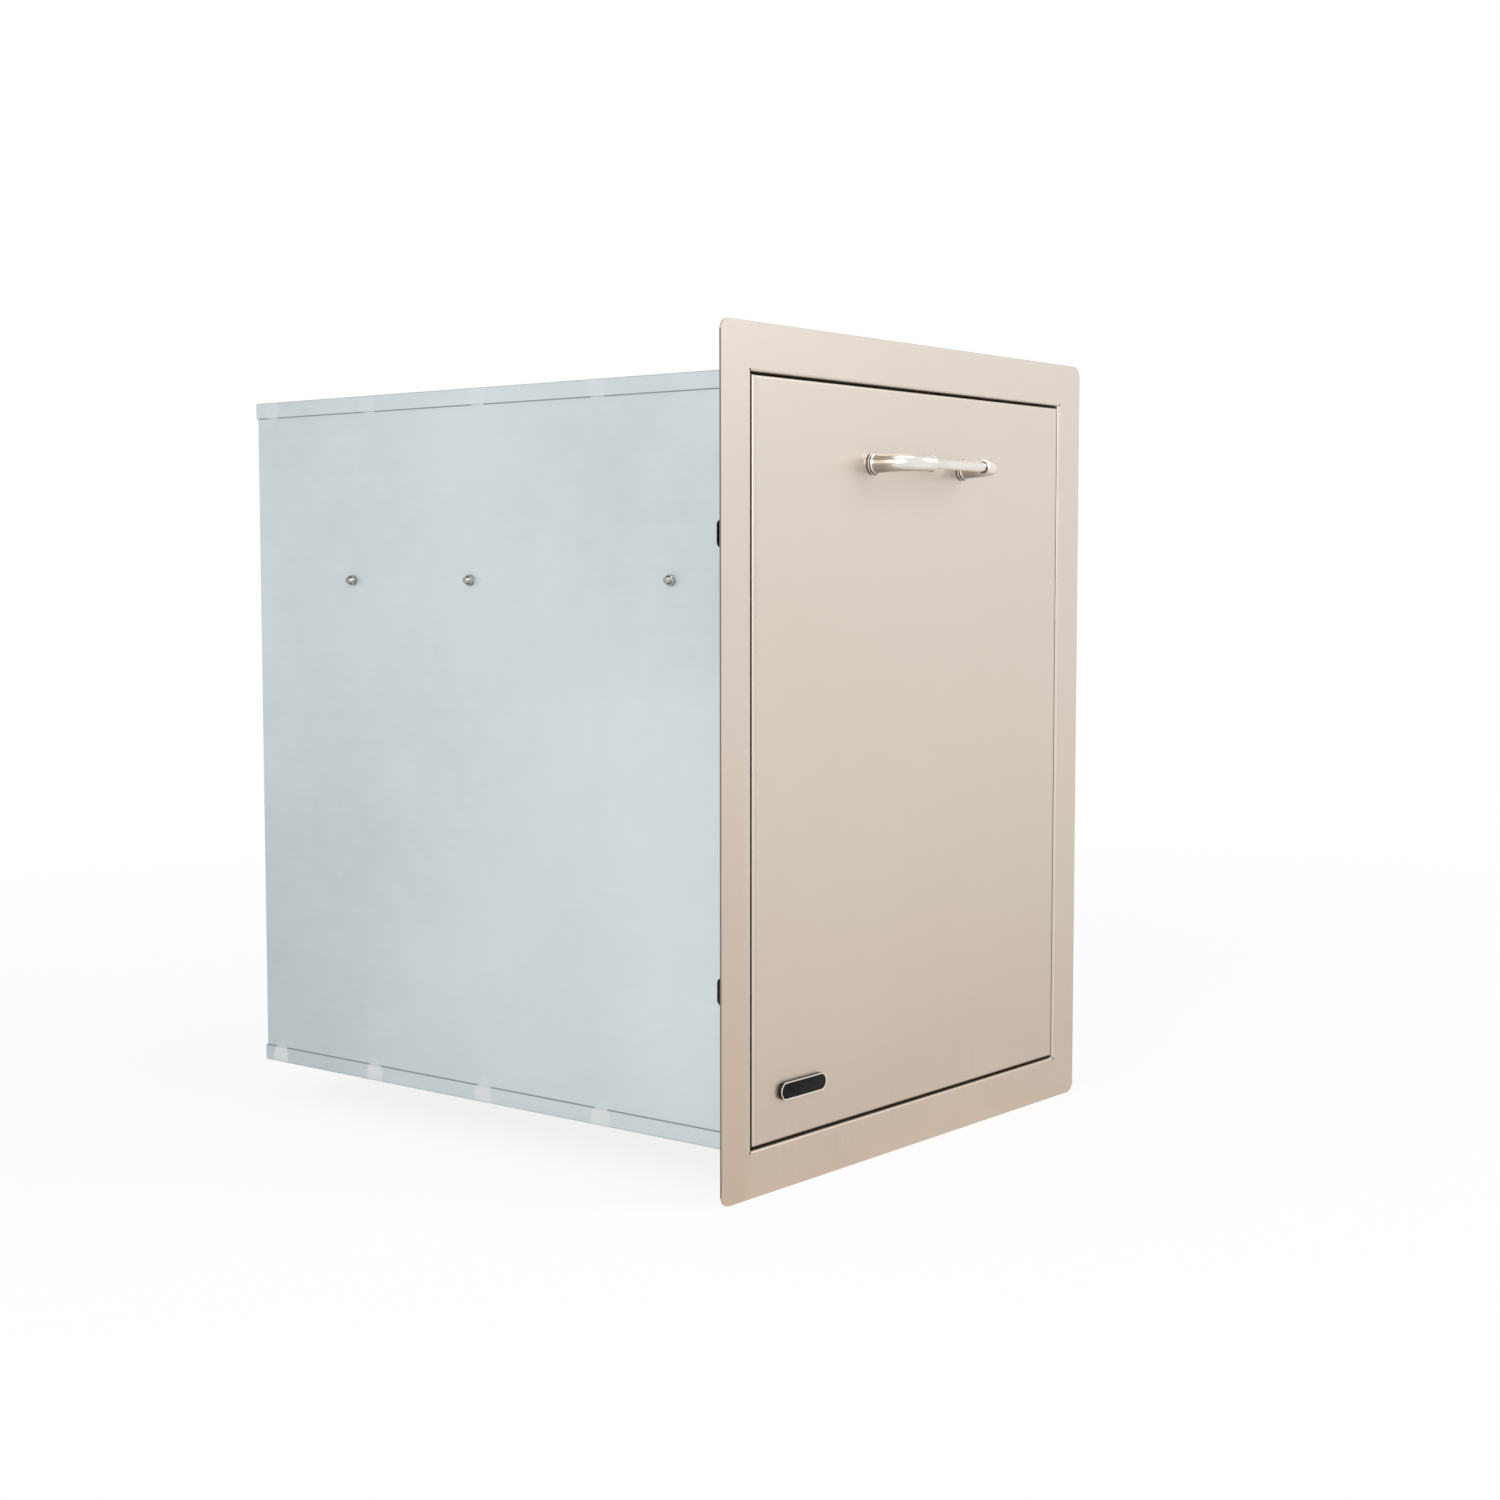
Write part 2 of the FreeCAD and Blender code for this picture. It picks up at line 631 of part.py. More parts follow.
def slide_x(offset):
    """Distance from the middle of a point in the right-hand slide, counted from the housing wall."""
    return wall_inner_x - offset


def slide_channel(half_z, back, front, sheet, bend, start, end):
    """Channel with its web towards the wall and its flanges towards the drawer."""
    corners = [
        (slide_x(front), slide_z - half_z),
        (slide_x(back), slide_z - half_z),
        (slide_x(back), slide_z + half_z),
        (slide_x(front), slide_z + half_z),
    ]
    return folded_sheet("xz", corners, sheet, bend, start, end, rounded=False)


def races(offset, race_z):
    """Cutters for the two grooves that one pair of ball rows runs in."""
    starts = [Vector(slide_x(offset), 0, slide_z + side * race_z) for side in (-1, 1)]
    return [rod(start, Vector(0, 1, 0), slide_rear_y + CUT_PAST, 2 * race_radius) for start in starts]


def slide_outer():
    """Outer channel, bolted to the wall."""
    channel = slide_channel(
        SLIDE_HEIGHT / 2, 0, OUTER_FLANGE, MEMBER_SHEET, MEMBER_BEND, SLIDE_SETBACK, slide_rear_y
    )
    return channel.cut(races(OUTER_BALL_OFFSET, outer_race_z) + wall_screw_holes())


def slide_middle():
    """Middle channel, with a groove outside for one pair of ball rows and inside for the other."""
    front = middle_offset + MIDDLE_FLANGE
    start = SLIDE_SETBACK + MEMBER_STEP
    channel = slide_channel(
        middle_half_z, middle_offset, front, MEMBER_SHEET, MEMBER_BEND, start, middle_rear_y
    )
    return channel.cut(races(OUTER_BALL_OFFSET, outer_race_z) + races(INNER_BALL_OFFSET, inner_race_z))


def slide_inner():
    """Inner channel, with its web against the carrier rail."""
    lip = slide_x(SLIDE_THICKNESS - INNER_FLANGE)
    corners = [
        (lip, slide_z + inner_half_z),
        (slide_inner_x, slide_z + inner_half_z),
        (slide_inner_x, slide_z - inner_half_z),
        (lip, slide_z - inner_half_z),
    ]
    depth = (SLIDE_SETBACK, inner_rear_y)
    channel = folded_sheet("xz", corners, MEMBER_SHEET, MEMBER_BEND, *depth, rounded=False)
    pivot_start = Vector(slide_inner_x - CUT_PAST, lever_y, slide_z)
    pivot_flats = (PIVOT_DIAMETER + 2 * THREAD_FIT) / math.cos(math.pi / FASTENER_SIDES)
    pivot_hole = peg(pivot_start, Vector(1, 0, 0), MEMBER_SHEET + 2 * CUT_PAST, pivot_flats)
    return channel.cut(races(INNER_BALL_OFFSET, inner_race_z) + rail_screw_holes() + [pivot_hole])


def ball_rows(setback):
    """Depths of the balls in one row of a cage."""
    first = setback + (CAGE_LENGTH - (BALLS_PER_ROW - 1) * BALL_PITCH) / 2
    return [first + i * BALL_PITCH for i in range(BALLS_PER_ROW)]


def ball_cage(setback, back, ball_offset, race_z):
    """Thin channel with a hole for each ball in its flanges."""
    hole = (BALL_DIAMETER + 2 * CAGE_HOLE_CLEARANCE) / math.cos(math.pi / FASTENER_SIDES)
    front = ball_offset + hole / 2 + CAGE_EDGE
    half_z = race_z + CAGE_SHEET / 2
    channel = slide_channel(half_z, back, front, CAGE_SHEET, CAGE_BEND, setback, setback + CAGE_LENGTH)
    height = 2 * half_z + 2 * CUT_PAST
    starts = [Vector(slide_x(ball_offset), y, slide_z - height / 2) for y in ball_rows(setback)]
    return channel.cut([peg(start, Vector(0, 0, 1), height, hole) for start in starts])


def ball(centre):
    """Steel ball, drawn with few flats because there are many."""
    rings = []
    for latitude in BALL_LATITUDES:
        level = centre + Vector(0, 0, ball_radius * math.sin(math.radians(latitude)))
        reach = ball_radius * math.cos(math.radians(latitude))
        turns = [2 * math.pi * i / BALL_SIDES for i in range(BALL_SIDES)]
        rings.append([level + Vector(math.cos(turn), math.sin(turn), 0) * reach for turn in turns])
    return stacked(rings)


def balls(setback, ball_offset, race_z):
    """Both sides' balls of one kind of cage."""
    solids = []
    for y in ball_rows(setback):
        for z in (slide_z - race_z, slide_z + race_z):
            solids += both_sides(ball(Vector(slide_x(ball_offset), y, z)))
    return Part.makeCompound(solids)


def slide_bumpers():
    """Rubber blocks on the outer channels' webs that the middle channels close against."""
    web = slide_x(MEMBER_SHEET)
    pad = block(
        (web - BUMPER_WIDTH, web),
        (bumper_front_y, bumper_front_y + BUMPER_LENGTH),
        (slide_z - BUMPER_HEIGHT / 2, slide_z + BUMPER_HEIGHT / 2),
    )
    return Part.makeCompound(both_sides(pad))


def slide_wall_screws():
    """Low-headed screws from inside the outer channels out through the walls."""
    screws = []
    for y in wall_screw_depths:
        seat = Vector(slide_x(MEMBER_SHEET), y, slide_z)
        head = peg(seat, Vector(-1, 0, 0), WALL_SCREW_HEAD, WALL_SCREW_HEAD_DIAMETER)
        length = wall_outer_x + WALL_SCREW_TAIL - seat.x
        screws += both_sides(head.fuse(peg(seat, Vector(1, 0, 0), length, WALL_SCREW_DIAMETER)))
    return Part.makeCompound(screws)


def slide_wall_nuts():
    """Hexagon nuts on those screws, outside the walls."""
    nuts = []
    bore = WALL_SCREW_DIAMETER + 2 * THREAD_FIT
    for y in wall_screw_depths:
        seat = Vector(wall_outer_x, y, slide_z)
        nuts += both_sides(nut(seat, Vector(1, 0, 0), WALL_NUT, WALL_NUT_WIDTH, bore))
    return Part.makeCompound(nuts)


def rail_screw_holes():
    """Cutters for the screws that fix the right-hand inner channel to its rail."""
    diameter = RAIL_SCREW_DIAMETER + 2 * SCREW_FIT
    reach = slide_inner_x + MEMBER_SHEET - gusset_inner_x + 2 * CUT_PAST
    starts = [Vector(gusset_inner_x - CUT_PAST, y, slide_z) for y in rail_screw_depths]
    return [peg(start, Vector(1, 0, 0), reach, diameter) for start in starts]


def rail_nut_seats():
    """Where each rail screw's nut sits: on the gusset at the front, on the rail behind it."""
    seats = []
    for y in rail_screw_depths:
        on_gusset = y < door_back_y + GUSSET_REACH
        seats.append(Vector(gusset_inner_x if on_gusset else rail_inner_x, y, slide_z))
    return seats


def rail_screws():
    """Screws from inside the inner channels through the rails."""
    screws = []
    for seat in rail_nut_seats():
        web = Vector(slide_inner_x + MEMBER_SHEET, seat.y, slide_z)
        head = peg(web, Vector(1, 0, 0), RAIL_SCREW_HEAD, RAIL_SCREW_HEAD_DIAMETER)
        length = web.x - seat.x + RAIL_SCREW_TAIL
        screws += both_sides(head.fuse(peg(web, Vector(-1, 0, 0), length, RAIL_SCREW_DIAMETER)))
    return Part.makeCompound(screws)


def rail_nuts():
    """Nuts of those screws."""
    nuts = []
    bore = RAIL_SCREW_DIAMETER + 2 * THREAD_FIT
    for seat in rail_nut_seats():
        nuts += both_sides(nut(seat, Vector(-1, 0, 0), RAIL_NUT, RAIL_NUT_WIDTH, bore))
    return Part.makeCompound(nuts)


def carrier_rail():
    """Right-hand rail: an upright web with the ledge that the bins' rims rest on."""
    corners = [(slide_inner_x, rail_bottom_z), (slide_inner_x, rail_top_z), (ledge_inner_x, rail_top_z)]
    rail = folded_sheet("xz", corners, RAIL_SHEET, RAIL_BEND, door_back_y, rail_rear_y)
    return rail.cut(rail_screw_holes())


def cross_rail_front():
    """Cross rail against the drawer front, its ledge under the side ledges."""
    corners = [(front_ledge_y, cross_top_z), (door_back_y, cross_top_z), (door_back_y, rail_bottom_z)]
    rail = folded_sheet("yz", corners, RAIL_SHEET, RAIL_BEND, -gusset_inner_x, gusset_inner_x)
    return rail.cut(door_screw_holes())


def cross_rail_rear():
    """Cross rail at the back of the carrier."""
    corners = [(rail_rear_y, rail_bottom_z), (rail_rear_y, cross_top_z), (rear_ledge_y, cross_top_z)]
    return folded_sheet("yz", corners, RAIL_SHEET, RAIL_BEND, -cross_half_x, cross_half_x)


def cross_divider():
    """Upturned channel between the two bins."""
    front = divider_y - DIVIDER_WIDTH / 2
    rear = divider_y + DIVIDER_WIDTH / 2
    low = cross_top_z - DIVIDER_DROP
    corners = [(rear, low), (rear, cross_top_z), (front, cross_top_z), (front, low)]
    return folded_sheet("yz", corners, RAIL_SHEET, RAIL_BEND, -cross_half_x, cross_half_x)


def gusset():
    """Right-hand gusset: a plate spot-welded inside the rail, its tab folded along the drawer front."""
    rear = door_back_y + GUSSET_REACH
    corners = [(rail_inner_x - GUSSET_TAB, door_back_y), (rail_inner_x, door_back_y), (rail_inner_x, rear)]
    plate = folded_sheet("xy", corners, GUSSET_SHEET, RAIL_BEND, gusset_bottom_z, gusset_top_z)
    depth = (door_back_y - CUT_PAST, rear)
    over_tab = block((0, gusset_inner_x), depth, (gusset_tab_z, gusset_top_z + CUT_PAST))
    outline = [
        (door_back_y, gusset_top_z),
        (rear, gusset_top_z),
        (rear, rail_bottom_z),
        (door_back_y + GUSSET_FOOT_REACH, gusset_bottom_z),
        (door_back_y, gusset_bottom_z),
        (door_back_y, gusset_top_z),
    ]
    blank = Part.Face(Part.makePolygon([Vector(0, y, z) for y, z in outline]))
    shaped = plate.cut(over_tab).common(blank.extrude(Vector(slide_inner_x, 0, 0)))
    return shaped.cut(rail_screw_holes() + door_screw_holes())


def door_screws():
    """Screws through the gusset tabs and the front cross rail into the drawer front."""
    screws = []
    for seat in door_screw_places():
        head = peg(seat, Vector(0, 1, 0), DOOR_SCREW_HEAD, DOOR_SCREW_HEAD_DIAMETER)
        screws.append(head.fuse(peg(seat, Vector(0, -1, 0), DOOR_SCREW_TAIL, DOOR_SCREW_DIAMETER)))
    return Part.makeCompound(screws)


def release_lever():
    """Right-hand lever: a flat plastic bar with a finger tab, turning on its pivot."""
    half = LEVER_LENGTH / 2
    low = LEVER_HEIGHT / 2
    high = LEVER_TAB / 2
    tab_end = LEVER_TAB - half
    nose = high - half
    tab = [(-half, 0), (nose, high), (tab_end - low, high), (tab_end, low)]
    profile = tab + [(half - low, low), (half, 0)]
    outline = profile + [(y, -z) for y, z in profile[-2:0:-1]] + profile[:1]
    seat = Vector(lever_x, lever_y, slide_z)
    side = Part.Face(Part.makePolygon([seat + Vector(0, y, z) for y, z in outline]))
    lever = side.extrude(Vector(LEVER_THICKNESS, 0, 0))
    start = Vector(lever_x - CUT_PAST, lever_y, slide_z)
    bore = PIVOT_DIAMETER + 2 * PIVOT_FIT
    return lever.cut(rod(start, Vector(1, 0, 0), LEVER_THICKNESS + 2 * CUT_PAST, bore))


def lever_pivots():
    """Headed rivets in the inner channels' webs."""
    start = Vector(slide_inner_x, lever_y, slide_z)
    head_x = lever_x + LEVER_THICKNESS + LEVER_GAP
    shank = rod(start, Vector(1, 0, 0), head_x - start.x, PIVOT_DIAMETER)
    head = peg(Vector(head_x, start.y, start.z), Vector(1, 0, 0), PIVOT_HEAD, PIVOT_HEAD_DIAMETER)
    return Part.makeCompound(both_sides(shank.fuse(head)))


def tapered_tub(bottom, top, inset, radius):
    """Tapering block that follows the bin's walls, its four corners rounded."""
    rings = []
    for z in (bottom, top):
        drawn_in = (bin_top_z - z) * BIN_TAPER / (bin_top_z - bin_bottom_z) + inset
        x = bin_half_x - drawn_in
        y = bin_half_y - drawn_in
        rings.append([Vector(x, y, z), Vector(-x, y, z), Vector(-x, -y, z), Vector(x, -y, z)])
    solid = stacked(rings)
    corners = [edge for edge in solid.Edges if edge.BoundBox.ZLength > (top - bottom) / 2]
    return solid.makeFillet(radius, corners)


def bin_tub(centre_y):
    """Moulded bin: a tapering tub whose flat rim rests on the carrier's ledges."""
    shell = tapered_tub(bin_bottom_z, bin_top_z, 0, BIN_CORNER_RADIUS)
    radius = BIN_CORNER_RADIUS + BIN_RIM_OVERLAP
    outline = rounded_wire(rim_half_x, rim_half_y, radius, rail_top_z)
    rim = Part.Face(outline).extrude(Vector(0, 0, BIN_RIM_LIP))
    inside = tapered_tub(bin_bottom_z + BIN_FLOOR, bin_top_z, BIN_WALL, BIN_CORNER_RADIUS - BIN_WALL)
    tub = shell.fuse(rim).cut(inside).removeSplitter()
    tub.translate(Vector(0, centre_y, 0))
    return tub


def pieces():
    """Every node of the drawer by name."""
    cap = housing_cap()
    outer_cage = ball_cage(outer_cage_y, outer_cage_offset, OUTER_BALL_OFFSET, outer_race_z)
    inner_cage = ball_cage(inner_cage_y, inner_cage_offset, INNER_BALL_OFFSET, inner_race_z)
    right_hand = {
        "housing_{}_side": housing_side(),
        "slide_outer_{}": slide_outer(),
        "slide_middle_{}": slide_middle(),
        "slide_inner_{}": slide_inner(),
        "outer_cage_{}": outer_cage,
        "inner_cage_{}": inner_cage,
        "rail_{}": carrier_rail(),
        "gusset_{}": gusset(),
        "release_lever_{}": release_lever(),
    }
    nodes = {
        "front_frame": front_frame(),
        "housing_top_cap": cap,
        "housing_bottom_cap": cap.mirror(Vector(0, 0, 0), Vector(0, 0, 1)),
        "housing_back": housing_back(),
        "slide_wall_screws": slide_wall_screws(),
        "slide_wall_nuts": slide_wall_nuts(),
        "slide_bumpers": slide_bumpers(),
        "outer_balls": balls(outer_cage_y, OUTER_BALL_OFFSET, outer_race_z),
        "inner_balls": balls(inner_cage_y, INNER_BALL_OFFSET, inner_race_z),
        "door_pan": door_pan(),
        "door_liner": door_liner(),
        "handle_elbows": Part.makeCompound(both_sides(handle_elbow())),
        "handle_bar": handle_bar(),
        "handle_screws": handle_screws(),
        "badge_plate": badge_plate(),
        "badge_inlay": badge_inlay(),
        "cross_rail_front": cross_rail_front(),
        "cross_rail_rear": cross_rail_rear(),
        "cross_divider": cross_divider(),
        "rail_screws": rail_screws(),
        "rail_nuts": rail_nuts(),
        "door_screws": door_screws(),
        "lever_pivots": lever_pivots(),
        "bin_front": bin_tub((front_ledge_y + divider_y - DIVIDER_WIDTH / 2) / 2),
        "bin_rear": bin_tub((rear_ledge_y + divider_y + DIVIDER_WIDTH / 2) / 2),
    }
    for name, shape in right_hand.items():
        nodes[name.format("right")] = shape
        nodes[name.format("left")] = mirrored(shape)
    return nodes


os.makedirs("parts", exist_ok=True)
for node, shape in pieces().items():
    shape.exportStep("parts/" + node + ".step")
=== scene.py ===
import math

import bpy
from mathutils import Matrix, Vector


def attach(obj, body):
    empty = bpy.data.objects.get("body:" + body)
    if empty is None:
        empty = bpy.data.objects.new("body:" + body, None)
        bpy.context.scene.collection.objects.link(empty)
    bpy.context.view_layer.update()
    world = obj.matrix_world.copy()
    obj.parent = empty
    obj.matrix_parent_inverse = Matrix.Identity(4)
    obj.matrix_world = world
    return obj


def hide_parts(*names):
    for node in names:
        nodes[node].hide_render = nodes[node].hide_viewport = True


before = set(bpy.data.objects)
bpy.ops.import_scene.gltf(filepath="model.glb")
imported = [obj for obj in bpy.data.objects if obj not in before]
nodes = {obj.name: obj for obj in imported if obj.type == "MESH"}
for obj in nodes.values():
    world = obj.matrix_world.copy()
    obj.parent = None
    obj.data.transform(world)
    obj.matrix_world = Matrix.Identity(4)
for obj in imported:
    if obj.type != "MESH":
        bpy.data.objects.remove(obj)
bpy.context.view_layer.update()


# Housing: two sides, a back and two folded caps of galvanised steel sheet about 1 mm thick.
# The zinc gives a pale blue-grey skin with soft clouds, faint crystals and rolling streaks, and
# the caps' lips carry pale dabs where the spot welds were touched up.

class Value:
    """A shader socket that takes part in plain arithmetic; each operation adds one Math node."""

    def __init__(self, finish, socket):
        self.finish = finish
        self.socket = socket

    def math(self, operation, *terms):
        node = self.finish.tree.nodes.new("ShaderNodeMath")
        node.operation = operation
        for slot, term in zip(node.inputs, terms):
            self.finish.feed(slot, term)
        return Value(self.finish, node.outputs[0])

    def __add__(self, other):
        return self.math("ADD", self, other)

    def __radd__(self, other):
        return self.math("ADD", other, self)

    def __sub__(self, other):
        return self.math("SUBTRACT", self, other)

    def __rsub__(self, other):
        return self.math("SUBTRACT", other, self)

    def __mul__(self, other):
        return self.math("MULTIPLY", self, other)

    def __rmul__(self, other):
        return self.math("MULTIPLY", other, self)

    def __truediv__(self, other):
        return self.math("DIVIDE", self, other)

    def __pow__(self, power):
        return self.math("POWER", self, power)

    def __abs__(self):
        return self.math("ABSOLUTE", self)

    def least(self, other):
        return self.math("MINIMUM", self, other)

    def most(self, other):
        return self.math("MAXIMUM", self, other)

    def out(self, name):
        """Another output of the node that this value comes from."""
        return Value(self.finish, self.socket.node.outputs[name])

    def ramp(self, low, high):
        """0 below low, 1 above high and smooth between them."""
        return self.finish.add(
            "ShaderNodeMapRange", {"interpolation_type": "SMOOTHSTEP"},
            Value=self, From_Min=low, From_Max=high,
        )

    def between(self, start, full, fading, end):
        """1 from full to fading, 0 outside start and end and smooth between them."""
        return self.ramp(start, full) * (1 - self.ramp(fading, end))

    def swing(self, share):
        """A pattern that varies about 0.5, as a share of itself that varies about 0."""
        return (self - 0.5) * share


class Nodes:
    """The nodes of one material or of the surround."""

    def __init__(self, owner):
        owner.use_nodes = True
        self.tree = owner.node_tree
        self.tree.nodes.clear()

    def feed(self, slot, value):
        if isinstance(value, Value):
            self.tree.links.new(value.socket, slot)
        else:
            slot.default_value = value

    def add(self, kind, settings, **sockets):
        """A node of some kind: its settings first, then values or links for its sockets."""
        node = self.tree.nodes.new(kind)
        for name, setting in settings.items():
            if name == "stops":
                while len(node.color_ramp.elements) < len(setting):
                    node.color_ramp.elements.new(1.0)
                for element, (position, colour) in zip(node.color_ramp.elements, setting):
                    element.position = position
                    element.color = (*colour, 1.0)
            else:
                setattr(node, name, setting)
        for name, value in sockets.items():
            wanted = name.replace("_", " ")
            self.feed(next(s for s in node.inputs if s.enabled and s.name == wanted), value)
        return Value(self, next((s for s in node.outputs if s.enabled), None))


class Finish(Nodes):
    """One finish of the drawer: a material, its surface shader and the nodes that vary it."""

    def __init__(self, name):
        self.material = bpy.data.materials.new(name)
        super().__init__(self.material)
        surface = self.add("ShaderNodeBsdfPrincipled", {})
        self.shader = surface.socket.node
        self.add("ShaderNodeOutputMaterial", {}, Surface=surface)
        self.place = self.add("ShaderNodeTexCoord", {}).out("Object")

    def stretched(self, scale, turn=(0, 0, 0)):
        """Object coordinates, stretched for a pattern that runs one way."""
        return self.add("ShaderNodeMapping", {}, Vector=self.place, Scale=scale, Rotation=turn)

    def noise(self, scale, detail=3.0, roughness=0.5, vector=None):
        return self.add(
            "ShaderNodeTexNoise", {"noise_dimensions": "3D"},
            Vector=vector or self.place, Scale=scale, Detail=detail, Roughness=roughness,
        )

    def crystals(self, scale):
        """Soft-edged cells, each with its own level, as in the skin of galvanised sheet."""
        cells = self.add(
            "ShaderNodeTexVoronoi", {"feature": "SMOOTH_F1"}, Vector=self.place, Scale=scale
        )
        return self.add("ShaderNodeSeparateColor", {}, Color=cells.out("Color"))

    def blend(self, share, first, second):
        """One colour over another by a share from 0 to 1."""
        first, second = [c if isinstance(c, Value) else (*c, 1.0) for c in (first, second)]
        return self.add("ShaderNodeMix", {"data_type": "RGBA"}, Factor=share, A=first, B=second)

    def surface(self, **sockets):
        """Values or links for the surface shader itself."""
        for name, value in sockets.items():
            self.feed(self.shader.inputs[name.replace("_", " ")], value)
        return self.material

    def relief(self, height, depth):
        """Fine relief that feeds the shader's normal, depth in metres."""
        bump = self.add("ShaderNodeBump", {}, Height=height, Strength=1.0, Distance=depth)
        self.tree.links.new(bump.socket, self.shader.inputs["Normal"])


def coat(material, *names):
    """Gives CAD nodes their finish."""
    for name in names:
        mesh = nodes[name].data
        mesh.materials.clear()
        mesh.materials.append(material)


# The dabs' depths and sizes, and the lips' and the dark seam's distances from the middle; the seam's dark
# line is dirt and painted shadow.
WELD_DEPTHS = (0.15, 0.2825, 0.415, 0.5395)
DAB_LENGTH = 0.0102
DAB_HEIGHT = 0.0092
SMEAR_LENGTH = 0.006
SMEAR_HEIGHT = 0.0075
LIP_MIDDLE = 0.2895
LIP_EDGE = 0.281
SEAM_DIRT_AND_SHADOW_BAND = (0.2812, 0.2818, 0.28255, 0.2827)
WALL_TO_LIP = (0.2215, 0.2225)

zinc_skin = Finish("galvanised_sheet")
clouds = zinc_skin.noise(4.5, 4.0, 0.55)
broad = zinc_skin.noise(1.7, 2.0)
crystal = zinc_skin.crystals(70.0)
rolling = zinc_skin.noise(9.0, 5.0, 0.6, zinc_skin.stretched((1.0, 0.6, 26.0)))
dust = zinc_skin.noise(420.0, 2.0, 0.7)
position = zinc_skin.add("ShaderNodeSeparateXYZ", {}, Vector=zinc_skin.place)
depth_in = position.out("Y")
height = position.out("Z")
shade = 0.5 + clouds.swing(0.55) + broad.swing(0.5) + crystal.swing(0.07) + rolling.swing(0.1)
# Painted shade: the sheet grows darker towards the rear.
shade = shade + dust.swing(0.07) - depth_in.ramp(0.25, 0.56) * 0.18
skin = zinc_skin.add(
    "ShaderNodeValToRGB",
    {"stops": [
        (0.1, (0.455, 0.52, 0.545)),
        (0.45, (0.575, 0.64, 0.655)),
        (0.8, (0.655, 0.72, 0.725)),
    ]},
    Fac=shade,
)
ragged = zinc_skin.noise(210.0, 3.0).swing(1.5)
from_middle = abs(height)
dabs = 0.0
for weld in WELD_DEPTHS:
    along = abs(depth_in - weld)
    from_dab = (along / DAB_LENGTH) ** 3 + (abs(from_middle - LIP_MIDDLE) / DAB_HEIGHT) ** 4
    from_smear = (along / SMEAR_LENGTH) ** 2 + (abs(from_middle - LIP_EDGE) / SMEAR_HEIGHT) ** 2
    dab = 1 - (from_dab + ragged).ramp(0.6, 1.0)
    smear = 1 - (from_smear + ragged).ramp(0.2, 1.0)
    dabs = dab.most(smear * 0.5).most(dabs)
# Dark line on the sheet beside each lip: dirt in the seam and painted shadow.
seam_dirt_and_shadow = from_middle.between(*SEAM_DIRT_AND_SHADOW_BAND) * (1 - dabs)
skin = zinc_skin.blend(seam_dirt_and_shadow * 0.65, skin, (0.2, 0.235, 0.245))
on_lips = abs(position.out("X")).ramp(*WALL_TO_LIP)
dabs = dabs * on_lips * (0.25 + (0.1 - height).ramp(0.0, 0.3) * 0.6)
skin = zinc_skin.blend(dabs, skin, (0.71, 0.725, 0.735))
zinc_skin.relief(crystal * 0.35 + rolling * 0.2 + dust * 0.25, 0.00006)
coat(
    zinc_skin.surface(
        Base_Color=skin,
        Metallic=0.45,
        Roughness=0.4 + clouds.swing(0.2) + crystal.swing(0.1) + dabs * 0.12,
    ),
    "housing_left_side", "housing_right_side", "housing_back",
    "housing_top_cap", "housing_bottom_cap",
)


# Front frame and drawer front: stainless sheet with a satin finish brushed up and down, folded
# back round the opening and into a pan. The flat liner behind the pan is the same sheet.

# Bands of painted highlight and painted shade along the drawer front's edges: where each starts, is full,
# fades and ends, as distances from the front's middle.
SIDE_BEND_HIGHLIGHTS = (0.2152, 0.2162, 0.2212, 0.2218)
SIDE_CREASE_SHADES = (0.2133, 0.2139, 0.2145, 0.2151)
SIDE_GAP_SHADES = (0.2165, 0.2171, 0.2175, 0.2179)
TOP_FOLD_SHADE = (0.2892, 0.29, 0.2914, 0.2918)
BOTTOM_FOLD_SHADOW = (0.2892, 0.2908, 0.2914, 0.2917)

satin = Finish("brushed_stainless")
brushed = satin.noise(1.0, 6.0, 0.75, satin.stretched((1900.0, 1900.0, 9.0)))
strokes = satin.noise(1.0, 3.0, 0.6, satin.stretched((520.0, 520.0, 3.2)))
smears = satin.noise(3.4, 4.0, 0.6)
specks = satin.noise(650.0, 1.0).ramp(0.74, 0.82)
front_place = satin.add("ShaderNodeSeparateXYZ", {}, Vector=satin.place)
rise = front_place.out("Z")
# Tone varies at random with the brushing and smears, and with height: lighter at the top, darker and
# warmer low down, which is painted shade and reflection.
tone_and_painted_shade = 0.5 + rise * 1.15 + smears.swing(0.22) + brushed.swing(0.1) + strokes.swing(0.1)
steel = satin.add(
    "ShaderNodeValToRGB",
    {"stops": [
        (0.05, (0.66, 0.54, 0.435)),
        (0.2, (0.58, 0.488, 0.412)),
        (0.5, (0.645, 0.565, 0.495)),
        (0.95, (0.685, 0.62, 0.558)),
    ]},
    Fac=tone_and_painted_shade,
)
steel = satin.blend(specks * 0.25, steel, (0.45, 0.39, 0.34))
# Painted warm reflection on the lower left of the flange.
painted_warm_reflection = (0 - front_place.out("X")).ramp(0.214, 0.235) * (0.1 - rise).ramp(0.0, 0.3)
steel = satin.blend(painted_warm_reflection * 0.6, steel, (0.57, 0.445, 0.345))
across = abs(front_place.out("X"))
upright = abs(rise)
# Painted highlight on the rounded side edges of the drawer front.
painted_bend_highlight = across.between(*SIDE_BEND_HIGHLIGHTS) * (1 - upright.ramp(0.2925, 0.2935))
steel = satin.blend(painted_bend_highlight * 0.28, steel, (0.85, 0.79, 0.71))
# Painted shade in a thin line inside each bright side edge.
painted_crease_shade = across.between(*SIDE_CREASE_SHADES) * (1 - upright.ramp(0.289, 0.29))
steel = satin.blend(painted_crease_shade * 0.22, steel, (0.3, 0.265, 0.23))
